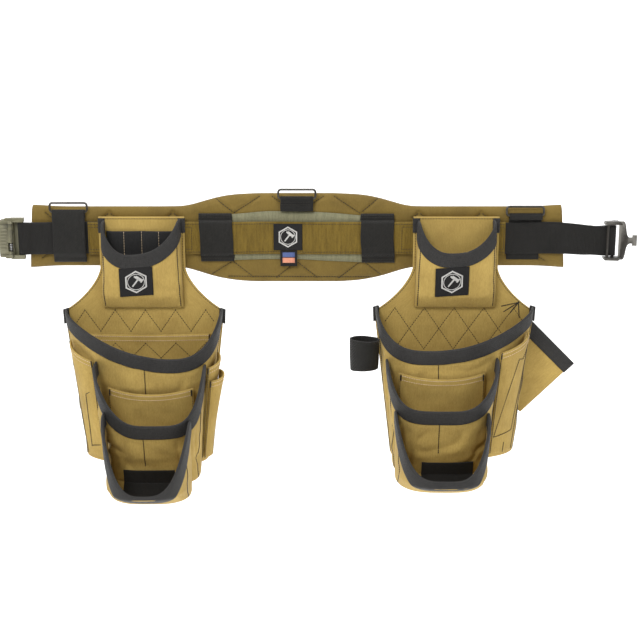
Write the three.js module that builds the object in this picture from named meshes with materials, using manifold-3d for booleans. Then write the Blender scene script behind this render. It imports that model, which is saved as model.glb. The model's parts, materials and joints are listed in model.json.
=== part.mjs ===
// A carpenter's tool belt: a padded back support, a two-inch waist strap with a quick-release buckle, three
// suspender rings, and two hanging canvas pouches that slide along the strap.
// Millimetres. X runs along the belt, +Z is up, and -Y is the front. The origin is the middle of the pad's
// back face.
import * as THREE from "three";
import Module from "manifold-3d";
import { mergeVertices } from "three/addons/utils/BufferGeometryUtils.js";

const wasm = await Module();
wasm.setup();

// ---- Driving dimensions --------------------------------------------------------------------------

const CANVAS = 1.8; // thickness of a doubled canvas wall
const TAPE = 3.2; // thickness of binding tape folded over a wall
const TAPE_WIDTH = 22;
const GAP = 0.3; // between pieces that touch
const SEAM = 2.0; // from a wall's middle surface to the edge of a bag sewn on it
const SEAM_ROOM = 3.4; // more of it where the wall turns away
const WEBBING = 1.8;
const WEB_WIDTH = 50; // two-inch webbing

const PAD = {
  halfLength: 400, endSlant: 8, endTop: 46, endBottom: -45, middleTop: 66, middleBottom: -69,
  shoulder: 168, crown: 72, thickness: 12, skin: 1.6,
};
const STRAP = { back: 14.1, left: -413, right: 475, facingLeft: -313, facingRight: 312 };
const FACING_BACK = STRAP.back + WEBBING + GAP;
const BAND = { foot: 13.9, over: 18.7, reach: 37, centreX: 121, endX: 341 };
const RING = { wire: 3.3, width: 55.4, height: 13.5, out: 16, corner: 3, tape: 49 };
const RING_Z = { left: 39.5, centre: 59.5, right: 34 };
const PANEL_BACK = 19; // back of a pouch's back panel, measured forward from the pad's back face
const PANEL = 2.5;
const PANEL_FRONT = PANEL_BACK + PANEL;

const COLOURS = {
  canvas: 0xb0924e, padding: 0x9a7d42, facing: 0x8d7132, strip: 0x83816a, black: 0x2b2a28,
  tape: 0x383735, metal: 0x55534f, olive: 0x6b664c, foam: 0x4a4a48, label: 0x141414, lining: 0x2e2e2e,
};

const toolBelt = new THREE.Group();

function add(name, geometry, colour, { roughness = 0.9, metalness = 0 } = {}) {
  const material = new THREE.MeshStandardMaterial({ color: COLOURS[colour], roughness, metalness });
  const mesh = new THREE.Mesh(geometry, material);
  mesh.name = name;
  toolBelt.add(mesh);
  return mesh;
}

// ---- Shape helpers -------------------------------------------------------------------------------

const mix = (a, b, t) => a + (b - a) * t;
const clamp01 = (t) => Math.min(1, Math.max(0, t));

// A value that changes in straight steps with height: stops are [z, value], lowest first.
function byHeight(stops) {
  return (z) => {
    const next = stops.findIndex(([height]) => z < height);
    if (next === 0) return stops[0][1];
    if (next < 0) return stops[stops.length - 1][1];
    const [z0, v0] = stops[next - 1];
    const [z1, v1] = stops[next];
    return mix(v0, v1, (z - z0) / (z1 - z0));
  };
}

// A sheet of the given thickness whose middle surface is surface(u, v), both from 0 to 1.
function sheet(surface, thickness, columns, rows) {
  const geometry = new THREE.BoxGeometry(1, 1, 1, columns, rows, 1);
  const place = geometry.attributes.position;
  const step = 2e-3;
  for (let i = 0; i < place.count; i++) {
    const u = place.getX(i) + 0.5;
    const v = place.getY(i) + 0.5;
    const along = surface(Math.min(1, u + step), v).sub(surface(Math.max(0, u - step), v));
    const upward = surface(u, Math.min(1, v + step)).sub(surface(u, Math.max(0, v - step)));
    const normal = along.cross(upward).normalize();
    const point = surface(u, v).addScaledVector(normal, place.getZ(i) * thickness);
    place.setXYZ(i, point.x, point.y, point.z);
  }
  return geometry;
}

// An outline in X and Z, given a thickness from back to front, measured forward from the pad's back face.
function slab(outline, back, front) {
  const shape = outline instanceof THREE.Shape ? outline : new THREE.Shape(outline);
  const depth = front - back;
  const geometry = new THREE.ExtrudeGeometry(shape, { depth, bevelEnabled: false, curveSegments: 6 });
  geometry.rotateX(Math.PI / 2);
  geometry.translate(0, -back, 0);
  return geometry;
}

// A strip of webbing: its edge-on path of [forward, z] points, with a width along X about x.
function crossStrip(path, thickness, x, width) {
  const shape = new THREE.Shape(ribbonOutline(path, thickness));
  const geometry = new THREE.ExtrudeGeometry(shape, { depth: width, bevelEnabled: false });
  geometry.rotateZ(Math.PI / 2); // forward becomes +Y and z becomes -X, for now
  geometry.rotateY(Math.PI / 2);
  geometry.rotateZ(Math.PI);
  geometry.translate(x + width / 2, 0, 0);
  return geometry;
}

// The closed outline of a line of points that has been given a thickness.
function ribbonOutline(path, thickness) {
  const points = path.map(([x, y]) => new THREE.Vector2(x, y));
  const sides = [[], []];
  points.forEach((point, i) => {
    const before = points[Math.max(0, i - 1)];
    const after = points[Math.min(points.length - 1, i + 1)];
    const inward = point.clone().sub(before).normalize();
    const outward = after.clone().sub(point).normalize();
    const along = inward.add(outward).normalize();
    const turn = i && i < points.length - 1 ? along.dot(after.clone().sub(point).normalize()) : 1;
    const reach = thickness / 2 / Math.max(0.5, turn);
    sides[0].push(new THREE.Vector2(point.x - along.y * reach, point.y + along.x * reach));
    sides[1].push(new THREE.Vector2(point.x + along.y * reach, point.y - along.x * reach));
  });
  return [...sides[0], ...sides[1].reverse()];
}

// Points on an arc about a centre, from one angle to another in degrees, ends included.
function arc(cx, cy, radius, from, to, count) {
  return Array.from({ length: count + 1 }, (_, i) => {
    const angle = THREE.MathUtils.degToRad(mix(from, to, i / count));
    return [cx + radius * Math.cos(angle), cy + radius * Math.sin(angle)];
  });
}

function solid(geometry) {
  const bare = geometry.index ? geometry.toNonIndexed() : geometry.clone();
  bare.deleteAttribute("normal");
  bare.deleteAttribute("uv");
  const merged = mergeVertices(bare, 1e-4);
  const vertProperties = merged.attributes.position.array;
  const triVerts = new Uint32Array(merged.index.array);
  return new wasm.Manifold(new wasm.Mesh({ numProp: 3, vertProperties, triVerts }));
}

function geometryOf(made) {
  const { vertProperties, triVerts } = made.getMesh();
  return new THREE.BufferGeometry()
    .setAttribute("position", new THREE.BufferAttribute(vertProperties, 3))
    .setIndex(new THREE.BufferAttribute(triVerts, 1));
}

const box = (x, forward, z, [width, depth, height]) =>
  new THREE.BoxGeometry(width, depth, height).translate(x, -forward, z);

// A round bar standing upright.
const upright = (radius, height, x, forward, z = 0) =>
  new THREE.CylinderGeometry(radius, radius, height, 16).rotateX(Math.PI / 2).translate(x, -forward, z);

const points2 = (corners) => corners.map(([x, z]) => new THREE.Vector2(x, z));

// ---- The padded back support ---------------------------------------------------------------------

// The pad's edge: straight ends that flare a little, and a taller middle that rises on smooth shoulders.
function padOutline(inset) {
  const { halfLength, endSlant, endTop, endBottom, middleTop, middleBottom, shoulder, crown } = PAD;
  const end = halfLength - inset;
  const top = endTop - inset;
  const bottom = endBottom + inset;
  const shape = new THREE.Shape();
  const bend = (shoulder - crown) / 2;
  shape.moveTo(-end - endSlant / 2, bottom);
  shape.lineTo(-shoulder, bottom);
  const lowest = middleBottom + inset;
  const highest = middleTop - inset;
  shape.bezierCurveTo(-shoulder + bend, bottom, -crown - bend, lowest, -crown, lowest);
  shape.lineTo(crown, lowest);
  shape.bezierCurveTo(crown + bend, lowest, shoulder - bend, bottom, shoulder, bottom);
  shape.lineTo(end + endSlant / 2, bottom);
  shape.lineTo(end - endSlant / 2, top);
  shape.lineTo(shoulder, top);
  shape.bezierCurveTo(shoulder - bend, top, crown + bend, highest, crown, highest);
  shape.lineTo(-crown, highest);
  shape.bezierCurveTo(-crown - bend, highest, -shoulder + bend, top, -shoulder, top);
  shape.lineTo(-end + endSlant / 2, top);
  shape.closePath();
  return shape;
}

const foamInset = PAD.skin + GAP;
const coverHollow = solid(slab(padOutline(PAD.skin), PAD.skin, PAD.thickness - PAD.skin));
const coverBlock = solid(slab(padOutline(0), PAD.skin + GAP, PAD.thickness));
add("pad_back_lining", slab(padOutline(0), 0, PAD.skin), "lining");
const foamOutline = padOutline(foamInset + 1);
add("pad_foam", slab(foamOutline, PAD.skin + GAP, PAD.thickness - PAD.skin - GAP), "foam");
add("pad_front_cover", geometryOf(coverBlock.subtract(coverHollow)), "padding");
const strip = { half: 104, top: 39, bottom: -36, back: PAD.thickness + GAP, thickness: 1.2 };
const stripCorners = [[-strip.half, strip.bottom], [strip.half, strip.bottom], [strip.half, strip.top],
  [-strip.half, strip.top]];
add("pad_centre_strip", slab(points2(stripCorners), strip.back, strip.back + strip.thickness), "strip");

// A band of webbing sewn down above and below the strap.
function centreBand(name, x) {
  const over = BAND.over + WEBBING / 2;
  const foot = BAND.foot + WEBBING / 2;
  const half = WEB_WIDTH / 2;
  const path = [
    [foot, -BAND.reach], [foot, -half - 6], [over, -half - 1],
    [over, half + 1], [foot, half + 6], [foot, BAND.reach],
  ];
  add(name, crossStrip(path, WEBBING, x, WEB_WIDTH), "black");
}
centreBand("centre_band_left", -BAND.centreX);
centreBand("centre_band_right", BAND.centreX);

// The end bands go on up round the bar of a suspender ring. The left one lies over the strap and is sewn
// down behind the ring. The right one lies under the strap, and its short end is sewn down in front.
const ringLoop = RING.wire / 2 + GAP + WEBBING / 2;
const loopAround = (z) => arc(RING.out, z, ringLoop, 0, 180, 8);
const loopFoot = PAD.thickness + GAP + WEBBING / 2;
const half = WEB_WIDTH / 2;
const overStrap = BAND.over + WEBBING / 2;
const leftBandPath = [
  [loopFoot + 0.6, -BAND.reach + 2], [loopFoot + 0.6, -half - 6], [overStrap, -half - 1],
  [overStrap, half + 6], ...loopAround(RING_Z.left), [loopFoot, RING_Z.left - 5], [loopFoot, half + 4],
];
add("end_band_left", crossStrip(leftBandPath, WEBBING, -BAND.endX, RING.tape), "black");
const underWeb = 1.5;
const underStrap = PAD.thickness + GAP / 2 + underWeb / 2;
const rightBandPath = [
  [underStrap, -BAND.reach + 4], [underStrap, RING_Z.right - 5], ...loopAround(RING_Z.right).reverse(),
  [RING.out + ringLoop, half + 2.5],
];
add("end_band_right", crossStrip(rightBandPath, underWeb, BAND.endX, RING.tape), "black");

// The middle ring hangs in a short tab that is sewn to the pad above the strip.
const tabFoot = 40.5;
const ringTabPath = [
  [RING.out + ringLoop, tabFoot], ...loopAround(RING_Z.centre), [loopFoot, RING_Z.centre - 5],
  [loopFoot, tabFoot],
];
add("centre_ring_tab", crossStrip(ringTabPath, WEBBING, 0, RING.tape), "black");

// ---- Suspender rings: rectangular wire rings that turn on their lower bar ------------------------

class RingLine extends THREE.Curve {
  constructor(width, height, corner) {
    super();
    const path = new THREE.Path();
    const x = width / 2;
    path.moveTo(0, 0);
    path.lineTo(x - corner, 0);
    path.absarc(x - corner, corner, corner, -Math.PI / 2, 0);
    path.lineTo(x, height - corner);
    path.absarc(x - corner, height - corner, corner, 0, Math.PI / 2);
    path.lineTo(-x + corner, height);
    path.absarc(-x + corner, height - corner, corner, Math.PI / 2, Math.PI);
    path.lineTo(-x, corner);
    path.absarc(-x + corner, corner, corner, Math.PI, 1.5 * Math.PI);
    path.lineTo(0, 0);
    this.path = path;
  }
  getPoint(t, target = new THREE.Vector3()) {
    const { x, y } = this.path.getPointAt(t % 1);
    return target.set(x, 0, y);
  }
}

// A round bar swept along a closed line lying in the X and Z plane.
function closedTube(line, radius, steps, sides) {
  const geometry = new THREE.TorusGeometry(1, 0.5, sides, steps);
  const place = geometry.attributes.position;
  for (let i = 0; i < place.count; i++) {
    const ring = i % (steps + 1);
    const side = Math.floor(i / (steps + 1));
    const centre = line.getPoint((ring / steps) % 1);
    const behind = line.getPoint(((ring - 0.01) / steps + 1) % 1);
    const ahead = line.getPoint(((ring + 0.01) / steps) % 1).sub(behind);
    const outward = new THREE.Vector3(ahead.z, 0, -ahead.x).normalize();
    const angle = (side / sides) * 2 * Math.PI;
    centre.addScaledVector(outward, radius * Math.cos(angle));
    centre.y -= radius * Math.sin(angle);
    place.setXYZ(i, centre.x, centre.y, centre.z);
  }
  return geometry;
}

function suspenderRing(name, x, z) {
  const line = new RingLine(RING.width, RING.height, RING.corner);
  const tube = closedTube(line, RING.wire / 2, 32, 8);
  const ring = add(name, tube, "metal", { roughness: 0.4, metalness: 0.9 });
  ring.position.set(x, -RING.out, z);
}
suspenderRing("ring_left", -BAND.endX, RING_Z.left);
suspenderRing("ring_centre", 0, RING_Z.centre);
suspenderRing("ring_right", BAND.endX, RING_Z.right);

// ---- The waist strap -----------------------------------------------------------------------------

const strapMiddle = STRAP.back + WEBBING / 2;
const barRadius = 2.4;
const turnRadius = barRadius + GAP + WEBBING / 2;
const strapBarForward = strapMiddle + turnRadius; // the receiver's bar, with the strap's tail in front
const tabBarForward = strapMiddle - turnRadius; // the tab buckle's bar, with the tail behind
const tabDrop = -4; // the free end droops a little

// Drawn from above, x and forward, then given its height.
const strapPath = [
  [-332, STRAP.back + WEBBING * 1.5 + GAP], [STRAP.left + 8, STRAP.back + WEBBING * 1.5 + GAP],
  ...arc(STRAP.left, strapBarForward, turnRadius, 50, 270, 8), [STRAP.left + 6, strapMiddle],
  [360, strapMiddle],
  [430, strapMiddle], ...arc(STRAP.right, tabBarForward, turnRadius, 90, -90, 8),
  [456, tabBarForward - turnRadius + 0.8], [438, strapMiddle - 2 * WEBBING],
];
const strapHeight = WEB_WIDTH - 2;
const strap = new THREE.ExtrudeGeometry(new THREE.Shape(ribbonOutline(strapPath, WEBBING)),
  { depth: strapHeight, steps: 1, bevelEnabled: false });
strap.translate(0, 0, -strapHeight / 2);
strap.scale(1, -1, 1);
const strapIndex = [];
for (let i = 0; i < strap.attributes.position.count; i += 3) strapIndex.push(i, i + 2, i + 1);
strap.setIndex(strapIndex);
// The free end beyond the pad droops.
for (let i = 0; i < strap.attributes.position.count; i++) {
  const droop = tabDrop * THREE.MathUtils.smoothstep(strap.attributes.position.getX(i), 380, 460);
  strap.attributes.position.setZ(i, strap.attributes.position.getZ(i) + droop);
}
add("waist_webbing", strap, "black");
const facingSize = [STRAP.facingRight - STRAP.facingLeft, WEBBING, WEB_WIDTH];
const facingMiddle = (STRAP.facingLeft + STRAP.facingRight) / 2;
add("webbing_facing", box(facingMiddle, FACING_BACK + WEBBING / 2, 0, facingSize), "facing");
add("belt_label", box(-13.5, FACING_BACK + WEBBING + GAP + 0.5, 2, [43, 1, 40]), "label");
add("belt_tab", box(-12.5, FACING_BACK + WEBBING + GAP + 0.5, -30.5, [25, 1, 24]), "label");

// ---- The buckle's receiver, at the left end ------------------------------------------------------

const RECEIVER = { left: -443, right: -424, top: 28, bottom: -28, back: 9, front: 24 };
const armReach = 31;
const receiverMiddle = (RECEIVER.left + RECEIVER.right) / 2;
const receiverLength = RECEIVER.right - RECEIVER.left;
const receiverParts = [
  box(receiverMiddle, (RECEIVER.back + RECEIVER.front) / 2, 0,
    [receiverLength, RECEIVER.front - RECEIVER.back, RECEIVER.top - RECEIVER.bottom]),
  ...[1, -1].map((side) => box(-418, strapBarForward, side * 28, [20, 9, armReach - 25])),
  upright(barRadius, 56, STRAP.left, strapBarForward),
];
// A T-shaped slot, open to the front, takes the tab: a narrow mouth, and a wider room for the tab's head.
const slotCuts = [
  box(RECEIVER.left + 5, 19, 0, [14, 14, 14]),
  box(RECEIVER.left + 12, 19, 0, [9.5, 14, 21]),
];
let receiver = receiverParts.map(solid).reduce((whole, piece) => whole.add(piece));
receiver = slotCuts.map(solid).reduce((whole, cut) => whole.subtract(cut), receiver);
const leverPin = { x: RECEIVER.right - 3, forward: RECEIVER.front + 2.2, radius: 1.5 };
const pinLugs = [1, -1].map((side) => box(leverPin.x, RECEIVER.front + 1.5, side * 25.5, [5.5, 5.5, 5]));
receiver = pinLugs.map(solid).reduce((whole, lug) => whole.add(lug), receiver);
const aboutPin = (radius, height) => solid(upright(radius, height, leverPin.x, leverPin.forward));
const pinHole = aboutPin(leverPin.radius + GAP, 80);
const barrelSeat = aboutPin(3.6, 46);
receiver = receiver.subtract(pinHole).subtract(barrelSeat);
add("receiver_body", geometryOf(receiver), "olive", { roughness: 0.6 });
const pin = upright(leverPin.radius, 55, leverPin.x, leverPin.forward);
add("lever_pin", pin, "metal", { roughness: 0.4, metalness: 0.9 });

// The release lever is a cover over the slot that turns on the pin and locks the tab's head.
const leverCover = solid(box(RECEIVER.left + 8.5, RECEIVER.front + 2.3, 0, [19, 3.6, 44]));
const leverBarrel = aboutPin(2.9, 45);
const leverLatch = solid(box(RECEIVER.left + 12, 21.5, 0, [5, 6, 7]));
const springRoom = solid(box(leverPin.x, leverPin.forward, -12, [8, 8, 13]));
const lever = leverCover.add(leverBarrel).add(leverLatch).subtract(pinHole).subtract(springRoom);
add("release_lever", geometryOf(lever), "olive", { roughness: 0.6 });

// A coil round the pin pushes the lever shut.
const coil = { radius: 2.5, turns: 4, foot: -16.5, length: 9 };
class Coil extends THREE.Curve {
  getPoint(t, target = new THREE.Vector3()) {
    const angle = t * 2 * Math.PI * coil.turns;
    const x = leverPin.x + coil.radius * Math.cos(angle);
    const y = -leverPin.forward + coil.radius * Math.sin(angle);
    return target.set(x, y, coil.foot + coil.length * t);
  }
}
const wire = new THREE.Shape();
wire.absarc(0, 0, 0.4, 0, 2 * Math.PI);
const coilOptions = { steps: 40, extrudePath: new Coil(), curveSegments: 3, bevelEnabled: false };
add("lever_spring", new THREE.ExtrudeGeometry(wire, coilOptions), "metal", { roughness: 0.35, metalness: 1 });

// ---- The buckle's tab, at the right end ----------------------------------------------------------

const TAB = { keeper: 465, keeperForward: strapMiddle + WEBBING / 2 + 4.4, neck: 4.5, head: 8, tip: 510 };
const tabEndOutline = [[460.5, 0], [462, 2.4], [482, 3], [486, 0], [486, -2.1], [460.5, -2.1]];
const tabEnds = [1, -1].map((side) => {
  const corners = tabEndOutline.map(([x, z]) => [x, tabDrop + side * (26.8 + z)]);
  return slab(points2(corners), 8.5, TAB.keeperForward + 2.2);
});
const tabPlate = new THREE.Shape();
tabPlate.moveTo(483, tabDrop - 29);
tabPlate.lineTo(490, tabDrop - 29);
tabPlate.bezierCurveTo(495, tabDrop - 24, 492, tabDrop - 6, 499, tabDrop - TAB.neck);
tabPlate.lineTo(503.5, tabDrop - TAB.neck);
tabPlate.lineTo(503.5, tabDrop - TAB.head);
tabPlate.lineTo(TAB.tip, tabDrop - TAB.head);
tabPlate.lineTo(TAB.tip, tabDrop + TAB.head);
tabPlate.lineTo(503.5, tabDrop + TAB.head);
tabPlate.lineTo(503.5, tabDrop + TAB.neck);
tabPlate.lineTo(499, tabDrop + TAB.neck);
tabPlate.bezierCurveTo(492, tabDrop + 6, 495, tabDrop + 24, 490, tabDrop + 29);
tabPlate.lineTo(483, tabDrop + 29);
tabPlate.closePath();
const tabFrame = [
  slab(tabPlate, 12.5, 16.5), upright(2.2, 56, TAB.keeper, TAB.keeperForward, tabDrop), ...tabEnds,
].map((geometry) => solid(geometry)).reduce((whole, piece) => whole.add(piece));
const aboutTabBar = (radius, height) => upright(radius, height, STRAP.right, tabBarForward, tabDrop);
const tabBuckle = tabFrame.subtract(solid(aboutTabBar(barRadius + GAP, 70)));
add("tab_buckle", geometryOf(tabBuckle), "metal", { roughness: 0.5, metalness: 0.8 });
add("tab_buckle_bar", aboutTabBar(barRadius, 57), "metal", { roughness: 0.5, metalness: 0.8 });

// ---- Bags ----------------------------------------------------------------------------------------

// A bag stands out of a parent surface, as a depth over (across, z): across grows towards the belt's middle.
// In plan it is a rounded U, squarer for a larger power; its rim dips in front.
function bag({ parent, centre, halfWidth, depth, outerPower, innerPower, rim, bottom, backBottom }) {
  const power = (s) => (s < 0 ? outerPower : innerPower);
  const inPlan = (t) => {
    const c = Math.cos(Math.PI * t);
    const n = c > 0 ? outerPower : innerPower;
    return [-Math.sign(c) * Math.abs(c) ** (2 / n), Math.abs(Math.sin(Math.PI * t)) ** (2 / n)];
  };
  const least = 0.012;
  function wall(t, z) {
    const [s, out] = inPlan(t);
    const a = centre(z) + halfWidth(z) * s;
    return [a, parent(a, z) + SEAM + depth(z) * (least + (1 - least) * out), z];
  }
  function rimAt(t) {
    const [s] = inPlan(t);
    const q = s < rim.low ? (rim.low - s) / (1 + rim.low) : (s - rim.low) / (1 - rim.low);
    const [m, k] = rim.shapes[s < rim.low ? 0 : 1];
    return mix(mix(rim.outer, rim.inner, (s + 1) / 2), rim.front, Math.max(0, 1 - q ** m) ** k);
  }
  // How far forward the bag's outside is, with room for a seam.
  function outerDepth(a, z) {
    const s = Math.min(1, Math.abs((a - centre(z)) / (halfWidth(z) + SEAM_ROOM)));
    const n = power(a - centre(z));
    return parent(a, z) + (s < 1 ? SEAM + (depth(z) + SEAM_ROOM / 2) * (1 - s ** n) ** (1 / n) : 0);
  }
  // Floor first, from the parent's foot out to the wall, then the wall up to the tape.
  const floorShare = 0.25;
  function body(u, v) {
    if (v < floorShare) {
      const [a, f, z] = wall(u, bottom);
      const back = [a, parent(a, backBottom) + SEAM, backBottom];
      const t = v / floorShare;
      return [a, mix(back[1], f, t), mix(back[2], z, t)];
    }
    const top = rimAt(u) - TAPE_WIDTH - 9 * GAP;
    return wall(u, mix(bottom, top, (v - floorShare) / (1 - floorShare)));
  }
  const tape = (u, v) => wall(u, rimAt(u) - TAPE_WIDTH * (1 - v));
  return { wall, rimAt, outerDepth, body, tape };
}

// ---- A pouch -------------------------------------------------------------------------------------

// Both pouches share one pattern, mirrored, so that their square sides face the middle of the belt.
const POUCHES = {
  left: {
    x: -232, hand: 1, mainFoot: -340, middleFoot: -356, frontFoot: -370,
    neckRim: { outer: 28, inner: 30, front: -19, low: -0.25, shapes: [[2.6, 0.9], [2.4, 0.9]] },
    mainRim: { outer: -107, inner: -107, front: -166, low: 0.4, shapes: [[1.8, 1], [3, 0.7]] },
    middleRim: { outer: -174, inner: -177, front: -253, low: 0, shapes: [[3, 1], [6, 0.7]] },
    frontRim: { outer: -237, inner: -248, front: -336, low: 0, shapes: [[3, 1], [3.4, 0.8]] },
    middleCentre: 15, middleHalf: 82, frontCentre: 14, frontHalf: 63, slotEnd: 0.27, slotTop: -150,
  },
  right: {
    x: 238, hand: -1, mainFoot: -333, middleFoot: -343, frontFoot: -352,
    neckRim: { outer: 29, inner: 28, front: -17, low: 0.1, shapes: [[2.4, 0.9], [2.6, 0.9]] },
    mainRim: { outer: -103, inner: -103, front: -153, low: 0.35, shapes: [[1.9, 1], [3.4, 0.7]] },
    middleRim: { outer: -167, inner: -170, front: -229, low: 0, shapes: [[4, 0.9], [6, 0.7]] },
    frontRim: { outer: -238, inner: -236, front: -313, low: 0, shapes: [[4, 0.9], [4, 0.8]] },
    middleCentre: 23, middleHalf: 82, frontCentre: 25, frontHalf: 68, slotEnd: 0.3, slotTop: -136,
  },
};
const NECK = { half: 64, top: 33, straight: -45 };
const SHOULDER = { half: 121, z: -111 };
const FOOT_HALF = 95;

function backPanelOutline(foot) {
  const { half, top, straight } = NECK;
  const shape = new THREE.Shape();
  shape.moveTo(-FOOT_HALF, foot);
  shape.lineTo(FOOT_HALF, foot);
  shape.lineTo(SHOULDER.half, SHOULDER.z);
  shape.bezierCurveTo(half + 28, SHOULDER.z + 17, half + 4, straight - 20, half, straight);
  shape.lineTo(half, top);
  shape.lineTo(-half, top);
  shape.lineTo(-half, straight);
  shape.bezierCurveTo(-half - 4, straight - 20, -half - 28, SHOULDER.z + 17, -SHOULDER.half, SHOULDER.z);
  shape.closePath();
  return shape;
}

// The C-shaped strip behind the neck that the strap runs through.
const tunnel = { top: NECK.top, foot: -38, back: PAD.thickness + GAP, width: 2 * NECK.half - 6 };
const tunnelPath = [[PANEL_BACK - GAP, tunnel.top - 0.7], [tunnel.back + 0.6, tunnel.top - 0.7],
  [tunnel.back + 0.6, tunnel.foot + 0.6], [PANEL_BACK - GAP, tunnel.foot + 0.6]];

function makeBags(spec) {
  const flat = () => PANEL_FRONT;
  const neck = bag({
    parent: flat, centre: () => 0, halfWidth: byHeight([[-106, 60], [30, 56]]),
    depth: byHeight([[-106, 3], [-84, 19], [30, 33]]), outerPower: 5, innerPower: 5, rim: spec.neckRim,
    bottom: -106, backBottom: -104,
  });
  const main = bag({
    parent: flat, centre: () => 0, halfWidth: byHeight([[spec.mainFoot, FOOT_HALF - 1], [-107, 118]]),
    depth: byHeight([[spec.mainFoot, 50], [-107, 82]]), outerPower: 1.8, innerPower: 4, rim: spec.mainRim,
    bottom: spec.mainFoot, backBottom: spec.mainFoot,
  });
  const middle = bag({
    parent: (a, z) => main.outerDepth(a, Math.max(z, spec.mainFoot)), centre: () => spec.middleCentre,
    halfWidth: byHeight([[spec.middleFoot, spec.middleHalf - 13], [-161, spec.middleHalf]]),
    depth: byHeight([[spec.middleFoot, 44], [-161, 68]]), outerPower: 3.2, innerPower: 3.6,
    rim: spec.middleRim, bottom: spec.middleFoot, backBottom: spec.mainFoot + 3,
  });
  const front = bag({
    parent: (a, z) => middle.outerDepth(a, Math.max(z, spec.middleFoot)), centre: () => spec.frontCentre,
    halfWidth: byHeight([[spec.frontFoot, spec.frontHalf - 3], [-229, spec.frontHalf]]),
    depth: byHeight([[spec.frontFoot, 33], [spec.frontFoot + 28, 84], [-300, 74], [-229, 54]]),
    outerPower: 3, innerPower: 3.4, rim: spec.frontRim, bottom: spec.frontFoot,
    backBottom: spec.middleFoot + 3,
  });
  return { neck, main, middle, front };
}

// A pocket panel laid over a bag's wall, from one share of the way round to another, standing off it.
function overWall({ wall }, [t0, t1], bottom, top, standOff) {
  return (u, v) => {
    const t = mix(t0, t1, u);
    const z = mix(bottom, top(u), v);
    const step = 4e-3;
    const along = new THREE.Vector3(...wall(t + step, z)).sub(new THREE.Vector3(...wall(t - step, z)));
    const out = new THREE.Vector3(-along.y, along.x, 0).normalize();
    if (out.y < 0 && Math.abs(out.y) > 0.2) out.negate();
    const point = new THREE.Vector3(...wall(t, z)).addScaledVector(out, standOff(u, v));
    return [point.x, point.y, point.z];
  };
}

// Rises from the seams at a pocket panel's sides and foot to its free top edge.
const billow = (least, most) => (u, v) =>
  least + (most - least) * Math.sin(Math.PI * u) ** 0.7 * clamp01(v) ** 1.3;

function pouch(side) {
  const spec = POUCHES[side];
  const { neck, main, middle, front } = makeBags(spec);
  const inFrame = (surface) => (u, v) => {
    const [a, forward, z] = surface(u, v);
    return new THREE.Vector3(spec.x + spec.hand * a, -forward, z);
  };
  const cloth = (name, surface, colour, thickness, columns, rows) =>
    add(`${side}_${name}`, sheet(inFrame(surface), thickness, columns, rows), colour);

  const panel = slab(backPanelOutline(spec.mainFoot), PANEL_BACK, PANEL_FRONT).translate(spec.x, 0, 0);
  add(`${side}_back_panel`, panel, "canvas");
  add(`${side}_belt_tunnel`, crossStrip(tunnelPath, 1.2, spec.x, tunnel.width), "canvas");

  for (const [name, made, columns] of [["neck", neck, 16], ["main", main, 20], ["middle", middle, 18],
    ["front", front, 18]]) {
    cloth(name === "neck" ? "neck_pocket" : `${name}_bag`, made.body, "canvas", CANVAS, columns, 6);
    cloth(`${name}_binding`, made.tape, "tape", TAPE, columns, 1);
  }

  // The label hangs from the neck pocket's tape.
  const labelTilt = -0.07;
  cloth("label", (u, v) => {
    const a = mix(-23, 24, u) - 7 * spec.hand;
    const z = mix(-88, -45, v) - a * labelTilt * spec.hand;
    return [a, neck.outerDepth(a, z) + CANVAS / 2 + GAP + 0.9, z];
  }, "label", 1, 4, 3);

  // Inside the middle bag, a flat pocket on the main bag's front.
  const innerTop = spec.middleRim.front + 34;
  cloth("middle_inner_pocket", (u, v) => {
    const a = spec.middleCentre + mix(-58, 58, u);
    const z = mix(spec.mainFoot + 6, innerTop, v);
    return [a, main.outerDepth(a, z) + 3 + 7 * Math.sin(Math.PI * u) * v, z];
  }, "canvas", CANVAS, 10, 4);

  // A bar of webbing across the foot of the front bag, on the middle bag's front.
  cloth("tool_strap", (u, v) => {
    const a = spec.frontCentre + mix(-40, 40, u);
    const z = mix(spec.middleFoot + 8, spec.middleFoot + 28, v);
    return [a, middle.outerDepth(a, z) + 2.6, z];
  }, "black", WEBBING, 8, 2);

  // Narrow slots for pencils and chisels on the slanting outer side.
  const slotTop = (u) => spec.slotTop - 24 * u;
  const slotFace = overWall(main, [0.1, spec.slotEnd], spec.mainFoot + 8, slotTop, billow(2.6, 12));
  cloth("slot_pocket", slotFace, "canvas", CANVAS, 8, 4);
  return { spec, cloth, main };
}

const left = pouch("left");
const right = pouch("right");

// The left pouch has a divider inside its main bag, black slots inside its neck pocket, and two side pockets.
left.cloth("divider_pocket", (u, v) => {
  const z = mix(left.spec.mainFoot + 4, -146, v);
  const a = mix(-1, 1, u) * mix(88, 100, v);
  return [a, PANEL_FRONT + 1.6 + 7 * Math.sin(Math.PI * u) * v, z];
}, "canvas", CANVAS, 8, 4);
left.cloth("neck_slots", (u, v) => {
  const forward = PANEL_FRONT + 2.2 + 2 * Math.abs(Math.sin(2 * Math.PI * u));
  return [mix(-50, 50, u), forward, mix(-70, 10, v)];
}, "lining", 1.4, 12, 3);
const sidePockets = {
  side_pocket_back: { span: [0.79, 0.94], rise: 8, top: [-184, -166], standOff: billow(2.6, 12) },
  side_pocket_front: {
    span: [0.8, 0.93], rise: 10, top: [-204, -192], standOff: (u, v) => 5.4 + billow(2.6, 18)(u, v),
  },
};
for (const [name, { span, rise, top, standOff }] of Object.entries(sidePockets)) {
  const face = overWall(left.main, span, left.spec.mainFoot + rise, (u) => mix(...top, u), standOff);
  left.cloth(name, face, "canvas", CANVAS, 8, 4);
}

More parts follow.
